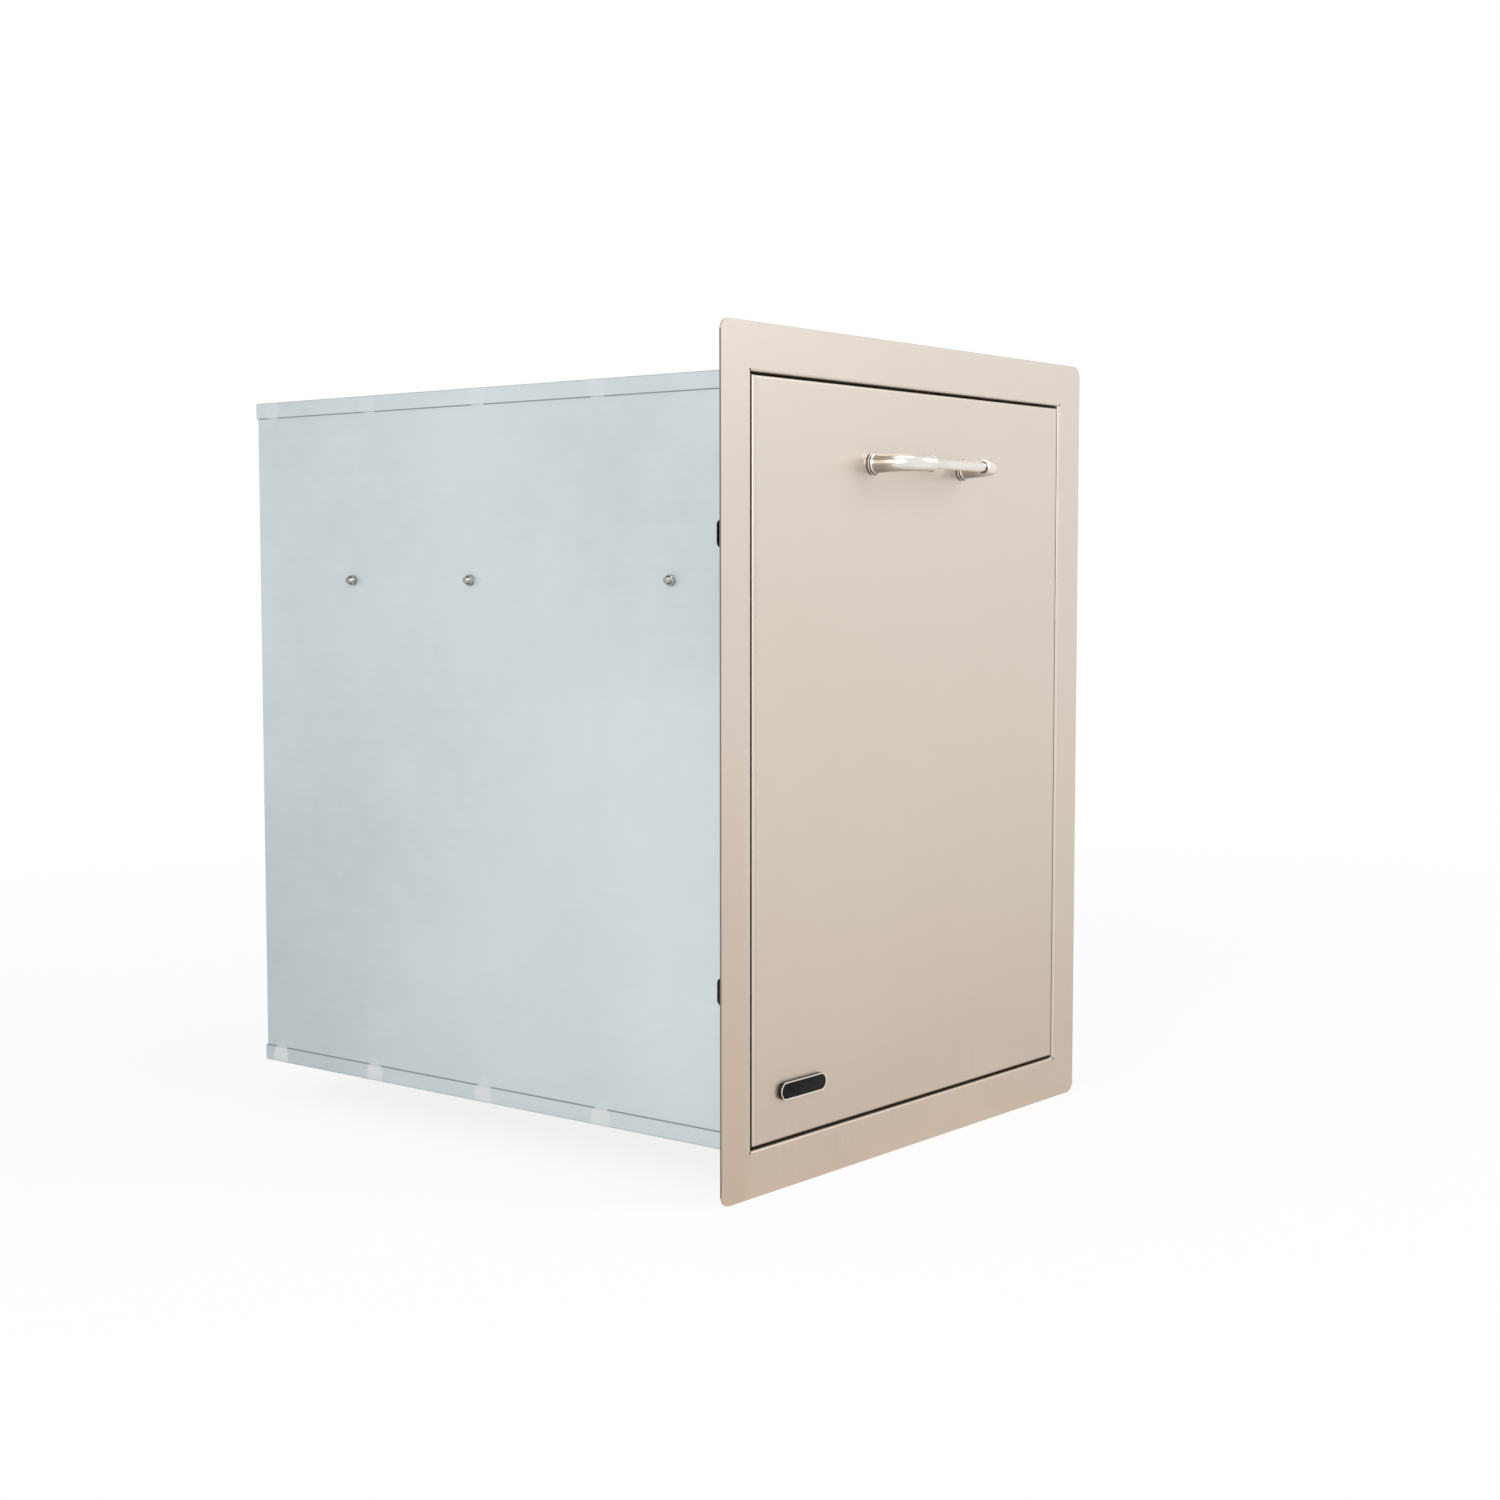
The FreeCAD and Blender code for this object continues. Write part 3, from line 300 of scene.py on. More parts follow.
# Painted shade on the drawer front's top fold.
painted_crown_shade = rise.between(*TOP_FOLD_SHADE) * (1 - across.ramp(0.2165, 0.2171))
steel = satin.blend(painted_crown_shade * 0.3, steel, (0.4, 0.35, 0.3))
# Painted shade on the drawer front's side walls deep in the gaps.
recess = across.between(*SIDE_GAP_SHADES) * front_place.out("Y").ramp(-0.0009, 0.0006)
steel = satin.blend(recess * 0.75, steel, (0.12, 0.1, 0.085))
# Painted shadow on the drawer front's bottom fold.
painted_underside_shadow = (0 - rise).between(*BOTTOM_FOLD_SHADOW) * (1 - across.ramp(0.217, 0.218))
steel = satin.blend(painted_underside_shadow * 0.85, steel, (0.09, 0.075, 0.06))
# The flange's cut edges darker: duller cut metal and painted shade.
dull_shaded_cut_edges = across.ramp(0.2548, 0.25499).most(upright.ramp(0.3298, 0.32999))
steel = satin.blend(dull_shaded_cut_edges, steel, (0.2, 0.185, 0.17))
satin.relief(brushed * 0.6 + strokes * 0.4, 0.00002)
coat(
    satin.surface(
        Base_Color=steel,
        Metallic=0.85,
        Roughness=0.36 + brushed.swing(0.16) + strokes.swing(0.1) + smears.swing(0.08) - painted_bend_highlight * 0.06,
    ),
    "front_frame", "door_pan", "door_liner",
)


# Telescoping slides and their cages: channels of zinc-plated steel, three on each side, bolted to
# the housing walls and to the bin carrier. The plating is bright, with a faint yellow and blue cast.

plated = Finish("zinc_plated_steel")
cast = plated.noise(16.0, 3.0)
drawn = plated.noise(1.0, 5.0, 0.65, plated.stretched((700.0, 5.0, 700.0)))
grime = plated.noise(34.0, 4.0, 0.7).ramp(0.56, 0.78)
plating = plated.add(
    "ShaderNodeValToRGB",
    {"stops": [(0.25, (0.5, 0.53, 0.57)), (0.5, (0.62, 0.63, 0.63)), (0.8, (0.66, 0.63, 0.55))]},
    Fac=0.5 + cast.swing(1.1) + drawn.swing(0.3),
)
plated.relief(drawn, 0.00002)
plated.surface(
    Base_Color=plated.blend(grime * 0.35, plating, (0.33, 0.32, 0.3)),
    Metallic=0.9,
    Roughness=0.32 + drawn.swing(0.2) + grime * 0.16,
)
for side in ("left", "right"):
    coat(
        plated.material, "slide_outer_" + side, "slide_middle_" + side, "slide_inner_" + side,
        "outer_cage_" + side, "inner_cage_" + side,
    )


# Balls: hardened steel balls 4 mm across, three in each row, held by the cages between the
# channels' grooves. They are ground and polished, with a light film of grease.

SLIDE_HEIGHT = 0.139
BALL_RADIUS = 0.00199
BALL_PITCH = 0.052
BALLS_PER_ROW = 3


def select_only(piece):
    """Makes one piece the only selected and the active one."""
    bpy.ops.object.select_all(action="DESELECT")
    piece.select_set(True)
    bpy.context.view_layer.objects.active = piece


def pick(piece, kind, test):
    """Selects a piece's edges or faces that pass a test and goes into edit mode."""
    select_only(piece)
    mesh = piece.data
    for item in [*mesh.vertices, *mesh.edges, *mesh.polygons]:
        item.select = False
    for item in mesh.edges if kind == "EDGE" else mesh.polygons:
        item.select = test(item)
    bpy.context.tool_settings.mesh_select_mode = (False, kind == "EDGE", kind == "FACE")
    bpy.ops.object.mode_set(mode="EDIT")


def copies(pattern, places):
    """Own-mesh copies of a pattern piece at each place, joined into one piece at the origin."""
    made = []
    for place in places:
        twin = pattern.copy()
        twin.data = pattern.data.copy()
        twin.data.transform(place)
        bpy.context.collection.objects.link(twin)
        made.append(twin)
    bpy.data.objects.remove(pattern)
    select_only(made[0])
    for twin in made:
        twin.select_set(True)
    bpy.ops.object.join()
    return bpy.context.object


def finished(piece, name, body, slot, material, *stands_for):
    """Names a piece, gives it its finish and ties it to the body that carries it."""
    piece.name = name
    piece.data.name = name
    piece.data.materials.clear()
    piece.data.materials.append(material)
    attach(piece, body)
    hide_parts(*stands_for)


polished_ball = Finish("ball_steel")
film = polished_ball.noise(900.0, 3.0)
polished_ball.relief(film, 0.000004)
polished_ball.surface(
    Base_Color=polished_ball.blend(film.ramp(0.35, 0.75), (0.66, 0.66, 0.65), (0.52, 0.5, 0.45)),
    Metallic=1.0,
    Roughness=0.12 + film * 0.14,
)
for kind, side_x, first_y, row_z in (
    ("outer", 0.2144, 0.213, 0.0198),
    ("inner", 0.212, 0.223, 0.0152),
):
    bpy.ops.object.select_all(action="DESELECT")
    bpy.ops.mesh.primitive_cube_add(size=BALL_RADIUS, enter_editmode=True)
    bpy.ops.mesh.subdivide(number_cuts=5)
    bpy.ops.transform.tosphere(value=1.0)
    bpy.ops.object.mode_set(mode="OBJECT")
    ball = bpy.context.object
    reach = max(corner.co.length for corner in ball.data.vertices)
    bpy.ops.transform.resize(value=(BALL_RADIUS / reach,) * 3)
    bpy.ops.object.transform_apply(location=True, rotation=True, scale=True)
    bpy.ops.object.shade_smooth()
    spots = []
    for x in (-side_x, side_x):
        for i in range(BALLS_PER_ROW):
            for z in (-row_z, row_z):
                spots.append(Matrix.Translation((x, first_y + i * BALL_PITCH, SLIDE_HEIGHT + z)))
    finished(
        copies(ball, spots), kind + "_ball_rows", kind + "_cages", "ball_steel",
        polished_ball.material, kind + "_balls",
    )


# Screws and nuts: zinc-plated machine screws through the slides and the housing walls with hexagon
# nuts outside, smaller ones through the carrier rails, and pan heads behind the drawer front.

fastener = Finish("fastener_steel")
tarnish = fastener.noise(240.0, 4.0, 0.65)
scratch = fastener.noise(1.0, 3.0, 0.6, fastener.stretched((2600.0, 300.0, 2600.0), (0.4, 0.2, 0.9)))
fastener.relief(tarnish * 0.6 + scratch * 0.4, 0.00002)
fastener.surface(
    Base_Color=fastener.blend(tarnish.ramp(0.32, 0.72), (0.5, 0.5, 0.49), (0.21, 0.205, 0.195)),
    Metallic=0.95,
    Roughness=0.2 + tarnish * 0.2 + scratch.swing(0.1),
)


def turned(sides, profile):
    """A round piece as off a lathe: a disc drawn out along Z ring by ring, by heights and radii."""
    (height, radius), rest = profile[0], profile[1:]
    bpy.ops.object.select_all(action="DESELECT")
    bpy.ops.mesh.primitive_circle_add(
        vertices=sides, radius=radius, fill_type="NGON", location=(0, 0, height)
    )
    bpy.ops.object.transform_apply(location=True, rotation=True, scale=True)
    bpy.ops.object.mode_set(mode="EDIT")
    bpy.ops.mesh.select_all(action="SELECT")
    for level, girth in rest:
        bpy.ops.mesh.extrude_region_move(TRANSFORM_OT_translate={"value": (0, 0, level - height)})
        bpy.ops.transform.resize(value=(girth / radius,) * 3, center_override=(0, 0, level))
        height, radius = level, girth
    bpy.ops.mesh.select_all(action="SELECT")
    bpy.ops.mesh.normals_make_consistent(inside=False)
    bpy.ops.object.mode_set(mode="OBJECT")
    bpy.ops.object.shade_smooth_by_angle(angle=math.radians(32))
    return bpy.context.object


def carve(piece, tool, operation):
    """Cuts or trims a piece with a tool piece, which is then put away."""
    select_only(piece)
    cut = piece.modifiers.new("carve", "BOOLEAN")
    cut.operation = operation
    cut.solver = "EXACT"
    cut.object = tool
    bpy.ops.object.modifier_apply(modifier=cut.name)
    bpy.data.objects.remove(tool)


def machine_screw(head_radius, head, shank_radius, length, pitch):
    """Pan-headed screw with a cross recess; the head's seat is at zero and the thread runs up Z."""
    profile = [
        (-head, 0.62 * head_radius), (-0.93 * head, 0.8 * head_radius), (-0.7 * head, 0.95 * head_radius),
        (-0.35 * head, head_radius), (0, head_radius), (0, shank_radius),
    ]
    root = shank_radius - 0.5 * pitch
    level = 0.25 * pitch
    while level + pitch < length - 0.6 * pitch:
        profile += [(level, shank_radius), (level + 0.5 * pitch, root)]
        level += pitch
    profile += [
        (level, shank_radius), (length - 0.5 * pitch, shank_radius), (length, 0.72 * shank_radius)
    ]
    screw = turned(24, profile)
    for turn in (0, math.pi / 2):
        bpy.ops.object.select_all(action="DESELECT")
        bpy.ops.mesh.primitive_cube_add(size=1, location=(0, 0, -head), rotation=(0, 0, turn))
        blade = bpy.context.object
        bpy.ops.transform.resize(value=(0.95 * head_radius, 0.2 * head_radius, 1.1 * head))
        bpy.ops.object.transform_apply(location=True, rotation=True, scale=True)
        carve(screw, blade, "DIFFERENCE")
    return screw


def hexagon_nut(width, thickness, bore):
    """Hexagon nut on its seat at zero, its corners turned off both ends and its bore left open."""
    corner = width / math.sqrt(3)
    bpy.ops.object.select_all(action="DESELECT")
    bpy.ops.mesh.primitive_cylinder_add(
        vertices=6, radius=corner, depth=thickness, location=(0, 0, thickness / 2)
    )
    nut = bpy.context.object
    bpy.ops.object.transform_apply(location=True, rotation=True, scale=True)
    edge = 0.485 * width
    slope = 0.6 * (corner - edge)
    barrel = turned(48, [(0, edge), (slope, corner), (thickness - slope, corner), (thickness, edge)])
    carve(nut, barrel, "INTERSECT")
    lead = 0.12 * width
    past = 0.001
    hole = turned(32, [
        (-past, bore + lead), (0, bore + lead), (lead, bore),
        (thickness - lead, bore), (thickness, bore + lead), (thickness + past, bore + lead),
    ])
    carve(nut, hole, "DIFFERENCE")
    bpy.ops.object.shade_smooth_by_angle(angle=math.radians(25), keep_sharp_edges=False)
    return nut


def facing(direction, spot):
    """Place of a fastener whose own Z is to run along a direction from a spot."""
    return Matrix.Translation(spot) @ Vector(direction).to_track_quat("Z", "Y").to_matrix().to_4x4()


def on_both_sides(distance, depths, outward):
    """Places at one distance from the middle on both sides, running outward or inward."""
    places = []
    for side in (-1, 1):
        for i, depth in enumerate(depths):
            heading = side * outward
            turn = Matrix.Rotation(0.7 * i + 0.3, 4, "Z")
            places.append(facing((heading, 0, 0), (side * distance, depth, SLIDE_HEIGHT)) @ turn)
    return places


# Distances from the middle of the faces that the heads and nuts sit on, and the screws' depths.
OUTER_WEB = 0.2198
WALL_OUTSIDE = 0.222
INNER_WEB = 0.2095
BRACED_RAIL = 0.2053
RAIL_INSIDE = 0.2068
WALL_DEPTHS = (0.0745, 0.292, 0.4355)
FRONT_DEPTHS = (0.09,)
REAR_DEPTHS = (0.29, 0.49)
LINER_BACK = 0.02
DOOR_SCREW_SPOTS = ((0.1953, 0.0745), (0.1953, -0.195), (0.10265, 0.13625))
finished(
    copies(
        machine_screw(head_radius=0.00475, head=0.0016, shank_radius=0.0025, length=0.0097, pitch=0.0008),
        on_both_sides(OUTER_WEB, WALL_DEPTHS, 1),
    ),
    "wall_screws", "housing", "fastener_steel", fastener.material, "slide_wall_screws",
)
finished(
    copies(
        hexagon_nut(width=0.008, thickness=0.004, bore=0.00255),
        on_both_sides(WALL_OUTSIDE, WALL_DEPTHS, 1),
    ),
    "wall_nuts", "housing", "fastener_steel", fastener.material, "slide_wall_nuts",
)
front_rail_screws, rail_screws = [
    copies(
        machine_screw(head_radius=0.00375, head=0.0022, shank_radius=0.002, length=length, pitch=0.0007),
        on_both_sides(INNER_WEB, depths, -1),
    )
    for length, depths in ((0.0102, FRONT_DEPTHS), (0.0087, REAR_DEPTHS))
]
select_only(rail_screws)
front_rail_screws.select_set(True)
bpy.ops.object.join()
finished(rail_screws, "carrier_screws", "drawer", "fastener_steel", fastener.material, "rail_screws")
finished(
    copies(
        hexagon_nut(width=0.007, thickness=0.0032, bore=0.00205),
        on_both_sides(BRACED_RAIL, FRONT_DEPTHS, -1) + on_both_sides(RAIL_INSIDE, REAR_DEPTHS, -1),
    ),
    "carrier_nuts", "drawer", "fastener_steel", fastener.material, "rail_nuts",
)
door_screw_places = []
for x, z in DOOR_SCREW_SPOTS:
    for side in (-1, 1):
        spin = Matrix.Rotation(9 * x + 5 * z + side, 4, "Z")
        door_screw_places.append(facing((0, -1, 0), (side * x, LINER_BACK, z)) @ spin)
finished(
    copies(
        machine_screw(head_radius=0.004, head=0.0024, shank_radius=0.002, length=0.008, pitch=0.0007),
        door_screw_places,
    ),
    "front_screws", "drawer", "fastener_steel", fastener.material, "door_screws",
)
coat(fastener.material, "handle_screws")


# Rubber bumpers: small moulded blocks at the rear of the outer channels that the middle channels
# close against.

rubber = Finish("black_rubber")
bloom = rubber.noise(160.0, 4.0, 0.6)
pores = rubber.noise(1500.0, 2.0)
rubber.relief(pores * 0.7 + bloom * 0.3, 0.00008)
rubber.surface(
    Base_Color=rubber.blend(bloom.ramp(0.4, 0.75), (0.02, 0.02, 0.021), (0.06, 0.06, 0.058)),
    Roughness=0.68 + bloom.swing(0.2),
)


def softened_copy(name, width, segments):
    """A copy of a CAD node with its doubles merged and its sharp edges rounded over."""
    copy = bpy.data.objects.new(name + "_soft", nodes[name].data.copy())
    bpy.context.collection.objects.link(copy)
    select_only(copy)
    bpy.ops.mesh.customdata_custom_splitnormals_clear()
    bpy.ops.object.mode_set(mode="EDIT")
    bpy.ops.mesh.select_all(action="SELECT")
    bpy.ops.mesh.remove_doubles(threshold=0.000002)
    bpy.ops.mesh.dissolve_limited(angle_limit=math.radians(1))
    bpy.ops.object.mode_set(mode="OBJECT")
    round_over = copy.modifiers.new("round_over", "BEVEL")
    round_over.width = width
    round_over.segments = segments
    round_over.limit_method = "ANGLE"
    round_over.angle_limit = math.radians(30)
    bpy.ops.object.modifier_apply(modifier=round_over.name)
    bpy.ops.object.shade_smooth_by_angle(angle=math.radians(40), keep_sharp_edges=False)
    return copy


finished(
    softened_copy("slide_bumpers", width=0.0008, segments=3),
    "rear_bumpers", "housing", "black_rubber", rubber.material, "slide_bumpers",
)


# Release levers: flat bars of glass-filled nylon on the inner channels, each turning on a headed
# steel pivot, that free the drawer from its slides.

nylon = Finish("lever_plastic")
fibres = nylon.noise(1.0, 4.0, 0.6, nylon.stretched((900.0, 260.0, 900.0)))
spark = nylon.noise(2200.0, 1.0)
nylon.relief(spark * 0.7 + fibres * 0.3, 0.00004)
nylon.surface(
    Base_Color=nylon.blend(fibres.ramp(0.35, 0.7), (0.028, 0.03, 0.032), (0.05, 0.052, 0.054)),
    Roughness=0.46 + spark.swing(0.18),
)
for side in ("left", "right"):
    finished(
        softened_copy("release_lever_" + side, width=0.00045, segments=2),
        side + "_release_lever", side + "_lever", "lever_plastic", nylon.material,
        "release_lever_" + side,
    )
PIVOT_SEAT = 0.2083
PIVOT_DEPTH = 0.35
pivot = turned(32, [
    (0, 0.002), (0.0048, 0.002), (0.0048, 0.0028), (0.0049, 0.0031),
    (0.0052, 0.0032), (0.00535, 0.003), (0.0054, 0.0024),
])
finished(
    copies(
        pivot,
        [facing((side, 0, 0), (side * PIVOT_SEAT, PIVOT_DEPTH, SLIDE_HEIGHT)) for side in (-1, 1)],
    ),
    "release_pivots", "drawer", "fastener_steel", fastener.material, "lever_pivots",
)


# Bin carrier: rails, cross rails, a divider and two gussets folded from galvanised sheet 1.5 mm
# thick, screwed and spot-welded together behind the drawer front.

carrier = Finish("carrier_sheet")
carrier_clouds = carrier.noise(7.0, 4.0)
spangle = carrier.crystals(95.0)
scuffs = carrier.noise(1.0, 4.0, 0.7, carrier.stretched((60.0, 9.0, 60.0))).ramp(0.58, 0.72)
sheet = carrier.add(
    "ShaderNodeValToRGB",
    {"stops": [(0.2, (0.44, 0.48, 0.5)), (0.5, (0.55, 0.59, 0.6)), (0.85, (0.64, 0.67, 0.67))]},
    Fac=0.5 + carrier_clouds.swing(0.7) + spangle.swing(0.16),
)
carrier.relief(spangle * 0.5 + scuffs * 0.5, 0.00004)
carrier.surface(
    Base_Color=carrier.blend(scuffs * 0.4, sheet, (0.7, 0.71, 0.7)),
    Metallic=0.6,
    Roughness=0.38 + spangle.swing(0.12) + scuffs * 0.1,
)
coat(
    carrier.material,
    "rail_left", "rail_right", "cross_rail_front", "cross_rail_rear", "cross_divider",
    "gusset_left", "gusset_right",
)


# Pull handle: two polished stainless castings screwed to the drawer front from behind, each a
# beaded foot and a neck that tapers round its bend to a collar, with a plain bar between them.

FRONT_FACE = -0.0015
HANDLE_HEIGHT = 0.2313
FOOT_REACH = 0.064
NECK_LENGTH = 0.014
NECK_RADIUS = 0.0069
BEND = 0.024
BEND_STEPS = 14
BEND_TAPER = 0.0007
SOCKET_DEPTH = 0.005
BEND_START = FRONT_FACE - NECK_LENGTH
BAR_LINE = BEND_START - BEND
# Bands of painted shade on the handle by distance from the front or the middle: in the foot's groove, in
# the ring where the bar enters each collar, and on the neck.
FOOT_GROOVE_SHADE = (-0.0039, -0.0036, -0.0036, -0.0033)
SOCKET_RING_SHADOW = (0.037, 0.0373, 0.0376, 0.0379)
NECK_SHADE_BAND = (-0.034, -0.012, -0.0062, -0.005)

mirror_steel = Finish("polished_handle")
fingers = mirror_steel.noise(55.0, 4.0, 0.6).ramp(0.45, 0.75)
hairline = mirror_steel.noise(1.0, 3.0, 0.6, mirror_steel.stretched((260.0, 2400.0, 2400.0)))
handle_place = mirror_steel.add("ShaderNodeSeparateXYZ", {}, Vector=mirror_steel.place)
out_from_front = handle_place.out("Y")
# Painted shadow and grime along the joint with the drawer front, painted shade in the foot's groove, and
# painted shadow in the ring where the bar enters each collar.
joint_shadow_and_grime = out_from_front.ramp(-0.0025, -0.0022)
groove_shade = out_from_front.between(*FOOT_GROOVE_SHADE)
below = HANDLE_HEIGHT - handle_place.out("Z")
from_bar = ((out_from_front - BAR_LINE) ** 2 + below ** 2) ** 0.5
socket = abs(handle_place.out("X")).between(*SOCKET_RING_SHADOW) * (1 - from_bar.ramp(0.0047, 0.0052))
shadows = (joint_shadow_and_grime + groove_shade + socket * 0.8).least(0.9)
# Painted shade: the neck darker and browner towards the foot.
painted_neck_shade = out_from_front.between(*NECK_SHADE_BAND)
polish_and_painted_shade = mirror_steel.blend(painted_neck_shade, (0.82, 0.775, 0.715), (0.46, 0.425, 0.385))
# Painted shade on the underside of the castings and the bar.
under = below.ramp(0.0025, 0.007)
polish_and_painted_shade = mirror_steel.blend(under * 0.5, polish_and_painted_shade, (0.2, 0.18, 0.16))
polish_and_painted_shade = mirror_steel.blend(fingers * 0.3, polish_and_painted_shade, (0.5, 0.47, 0.43))
mirror_steel.relief(hairline, 0.000004)
mirror_steel.surface(
    Base_Color=mirror_steel.blend(shadows, polish_and_painted_shade, (0.05, 0.042, 0.035)),
    Metallic=1.0,
    Roughness=0.15 + fingers * 0.06 + hairline.swing(0.03),
)
elbow = turned(64, [
    (0.0001, 0.0083), (0.0007, 0.0083), (0.0009, 0.0088), (0.0012, 0.00916), (0.0016, 0.0092),
    (0.0019, 0.00895), (0.0021, 0.0084), (0.0022, 0.00785), (0.0024, 0.0079), (0.0027, 0.0082),
    (0.0031, 0.0083), (0.0035, 0.0081), (0.0037, 0.0076), (0.0039, 0.00748), (0.0065, 0.00735),
    (0.010, 0.00715), (NECK_LENGTH, NECK_RADIUS),
])
elbow.data.transform(facing((0, -1, 0), (FOOT_REACH, FRONT_FACE, HANDLE_HEIGHT)))
elbow.data.update()
pick(elbow, "FACE", lambda face: face.center.y < BEND_START + 0.00001)
centre = Vector((FOOT_REACH - BEND, BEND_START, HANDLE_HEIGHT))
girth = NECK_RADIUS
step = math.pi / 2 / BEND_STEPS
for i in range(1, BEND_STEPS + 1):
    bpy.ops.mesh.extrude_region_move(TRANSFORM_OT_translate={"value": (0, 0, 0)})
    bpy.ops.transform.rotate(value=step, orient_axis="Z", center_override=centre)
    slim = NECK_RADIUS - BEND_TAPER * i / BEND_STEPS
    ring = centre + Vector((math.cos(i * step), -math.sin(i * step), 0)) * BEND
    bpy.ops.transform.resize(value=(slim / girth,) * 3, center_override=ring)
    girth = slim
bend_end = Vector((FOOT_REACH - BEND, BAR_LINE, HANDLE_HEIGHT))
run = 0.0
for reach, radius in (
    (0.0003, 0.0063), (0.0005, 0.0067), (0.0008, 0.00687), (0.0018, 0.00689),
    (0.0022, 0.0067), (0.0024, 0.0062), (0.0025, 0.0056), (0.0025, 0.00408),
):
    bpy.ops.mesh.extrude_region_move(TRANSFORM_OT_translate={"value": (run - reach, 0, 0)})
    ring = bend_end - Vector((reach, 0, 0))
    bpy.ops.transform.resize(value=(radius / girth,) * 3, center_override=ring)
    run, girth = reach, radius
bpy.ops.mesh.extrude_region_move(TRANSFORM_OT_translate={"value": (SOCKET_DEPTH, 0, 0)})
bpy.ops.mesh.select_all(action="SELECT")
bpy.ops.mesh.normals_make_consistent(inside=False)
bpy.ops.object.mode_set(mode="OBJECT")
bpy.ops.object.shade_smooth_by_angle(angle=math.radians(38), keep_sharp_edges=False)
bpy.ops.object.duplicate(linked=False)
left_elbow = bpy.context.object
bpy.ops.object.mode_set(mode="EDIT")
bpy.ops.mesh.select_all(action="SELECT")
bpy.ops.transform.resize(value=(-1, 1, 1), center_override=(0, 0, 0))
bpy.ops.mesh.normals_make_consistent(inside=False)
bpy.ops.object.mode_set(mode="OBJECT")
for side, casting in (("right", elbow), ("left", left_elbow)):
    finished(
        casting, side + "_handle_elbow", "drawer", "polished_handle", mirror_steel.material,
        "handle_elbows",
    )
bar = turned(64, [
    (-0.0425, 0.0033), (-0.0417, 0.004), (-0.02, 0.004),
    (0.02, 0.004), (0.0417, 0.004), (0.0425, 0.0033),
])
bar.data.transform(facing((1, 0, 0), (0, BAR_LINE, HANDLE_HEIGHT)))
finished(bar, "pull_bar", "drawer", "polished_handle", mirror_steel.material, "handle_bar")


# Badge: an oblong die-cast plate stuck to the lower left of the front, black on its sides, with a
# bright raised rim round a plain black enamel field.

BADGE_CENTRE = Vector((-0.1573, 0, -0.2538))
BADGE_FRONT = FRONT_FACE - 0.0032
RIM_HEIGHT = 0.0003
FIELD_FRONT = FRONT_FACE - 0.00335
FIELD_BACK = FRONT_FACE - 0.003


def edge_run(piece, edge):
    """From one end of an edge to the other."""
    start, end = [piece.data.vertices[i].co for i in edge.vertices]
    return end - start


def oblong(half_x, half_z, front, back, radius):
    """Upright plate with round ends at the badge's place."""
    bpy.ops.object.select_all(action="DESELECT")
    middle = BADGE_CENTRE + Vector((0, (front + back) / 2, 0))
    bpy.ops.mesh.primitive_cube_add(size=1, location=middle)
    bpy.ops.transform.resize(value=(2 * half_x, back - front, 2 * half_z))
    bpy.ops.object.transform_apply(location=True, rotation=True, scale=True)
    plate = bpy.context.object
    pick(plate, "EDGE", lambda edge: abs(edge_run(plate, edge).y) > 0.5 * (back - front))
    bpy.ops.mesh.bevel(
        offset=radius, offset_type="OFFSET", segments=14, affect="EDGES", clamp_overlap=False
    )
    bpy.ops.object.mode_set(mode="OBJECT")
    return plate


def pick_front(plate):
    """Selects a plate's front face and goes into edit mode."""
    pick(plate, "FACE", lambda face: face.normal.y < -0.99)


badge = oblong(half_x=0.029, half_z=0.007, front=BADGE_FRONT, back=FRONT_FACE, radius=0.0068)
pick_front(badge)
bpy.ops.mesh.extrude_region_move(TRANSFORM_OT_translate={"value": (0, -RIM_HEIGHT, 0)})
bpy.ops.mesh.inset(thickness=0.00025, depth=0)
bpy.ops.mesh.inset(thickness=0.0006, depth=0)
bpy.ops.mesh.inset(thickness=0.0002, depth=-0.0002)
bpy.ops.mesh.inset(thickness=0.00005, depth=-0.0003)
bpy.ops.mesh.select_all(action="SELECT")
bpy.ops.mesh.normals_make_consistent(inside=False)
bpy.ops.object.mode_set(mode="OBJECT")
bpy.ops.object.shade_smooth_by_angle(angle=math.radians(35))
rim = Finish("badge_metal")
worn = rim.noise(700.0, 3.0)
out_front = 1 - rim.add("ShaderNodeSeparateXYZ", {}, Vector=rim.place).out("Y").ramp(-0.0047, -0.0045)
bright = rim.blend(worn.ramp(0.35, 0.7), (0.8, 0.78, 0.74), (0.66, 0.63, 0.58))
rim.relief(worn, 0.000006)
rim.surface(
    Base_Color=rim.blend(out_front, (0.018, 0.017, 0.016), bright),
    Metallic=out_front * 0.95,
    Roughness=0.42 - out_front * 0.2 + worn.swing(0.12),
    Specular_IOR_Level=0.1,
)
finished(badge, "badge_frame", "drawer", "badge_metal", rim.material, "badge_plate")
field = oblong(half_x=0.02785, half_z=0.00585, front=FIELD_FRONT, back=FIELD_BACK, radius=0.00565)
pick_front(field)
bpy.ops.mesh.inset(thickness=0.0002, depth=0.00005)
bpy.ops.object.mode_set(mode="OBJECT")
bpy.ops.object.shade_smooth_by_angle(angle=math.radians(35))
enamel = Finish("badge_black")
haze = enamel.noise(120.0, 4.0, 0.6)
enamel.relief(enamel.noise(380.0, 2.0), 0.000008)
enamel.surface(
    Base_Color=enamel.blend(haze.ramp(0.4, 0.8), (0.006, 0.005, 0.0045), (0.014, 0.012, 0.0105)),
    Roughness=0.34 + haze * 0.16,
    Specular_IOR_Level=0.08,
)
finished(field, "badge_field", "drawer", "badge_black", enamel.material, "badge_inlay")


# Bins: two alike injection-moulded polypropylene tubs with a fine spark texture, hung by their flat
# rims on the carrier's ledges, one behind the other.

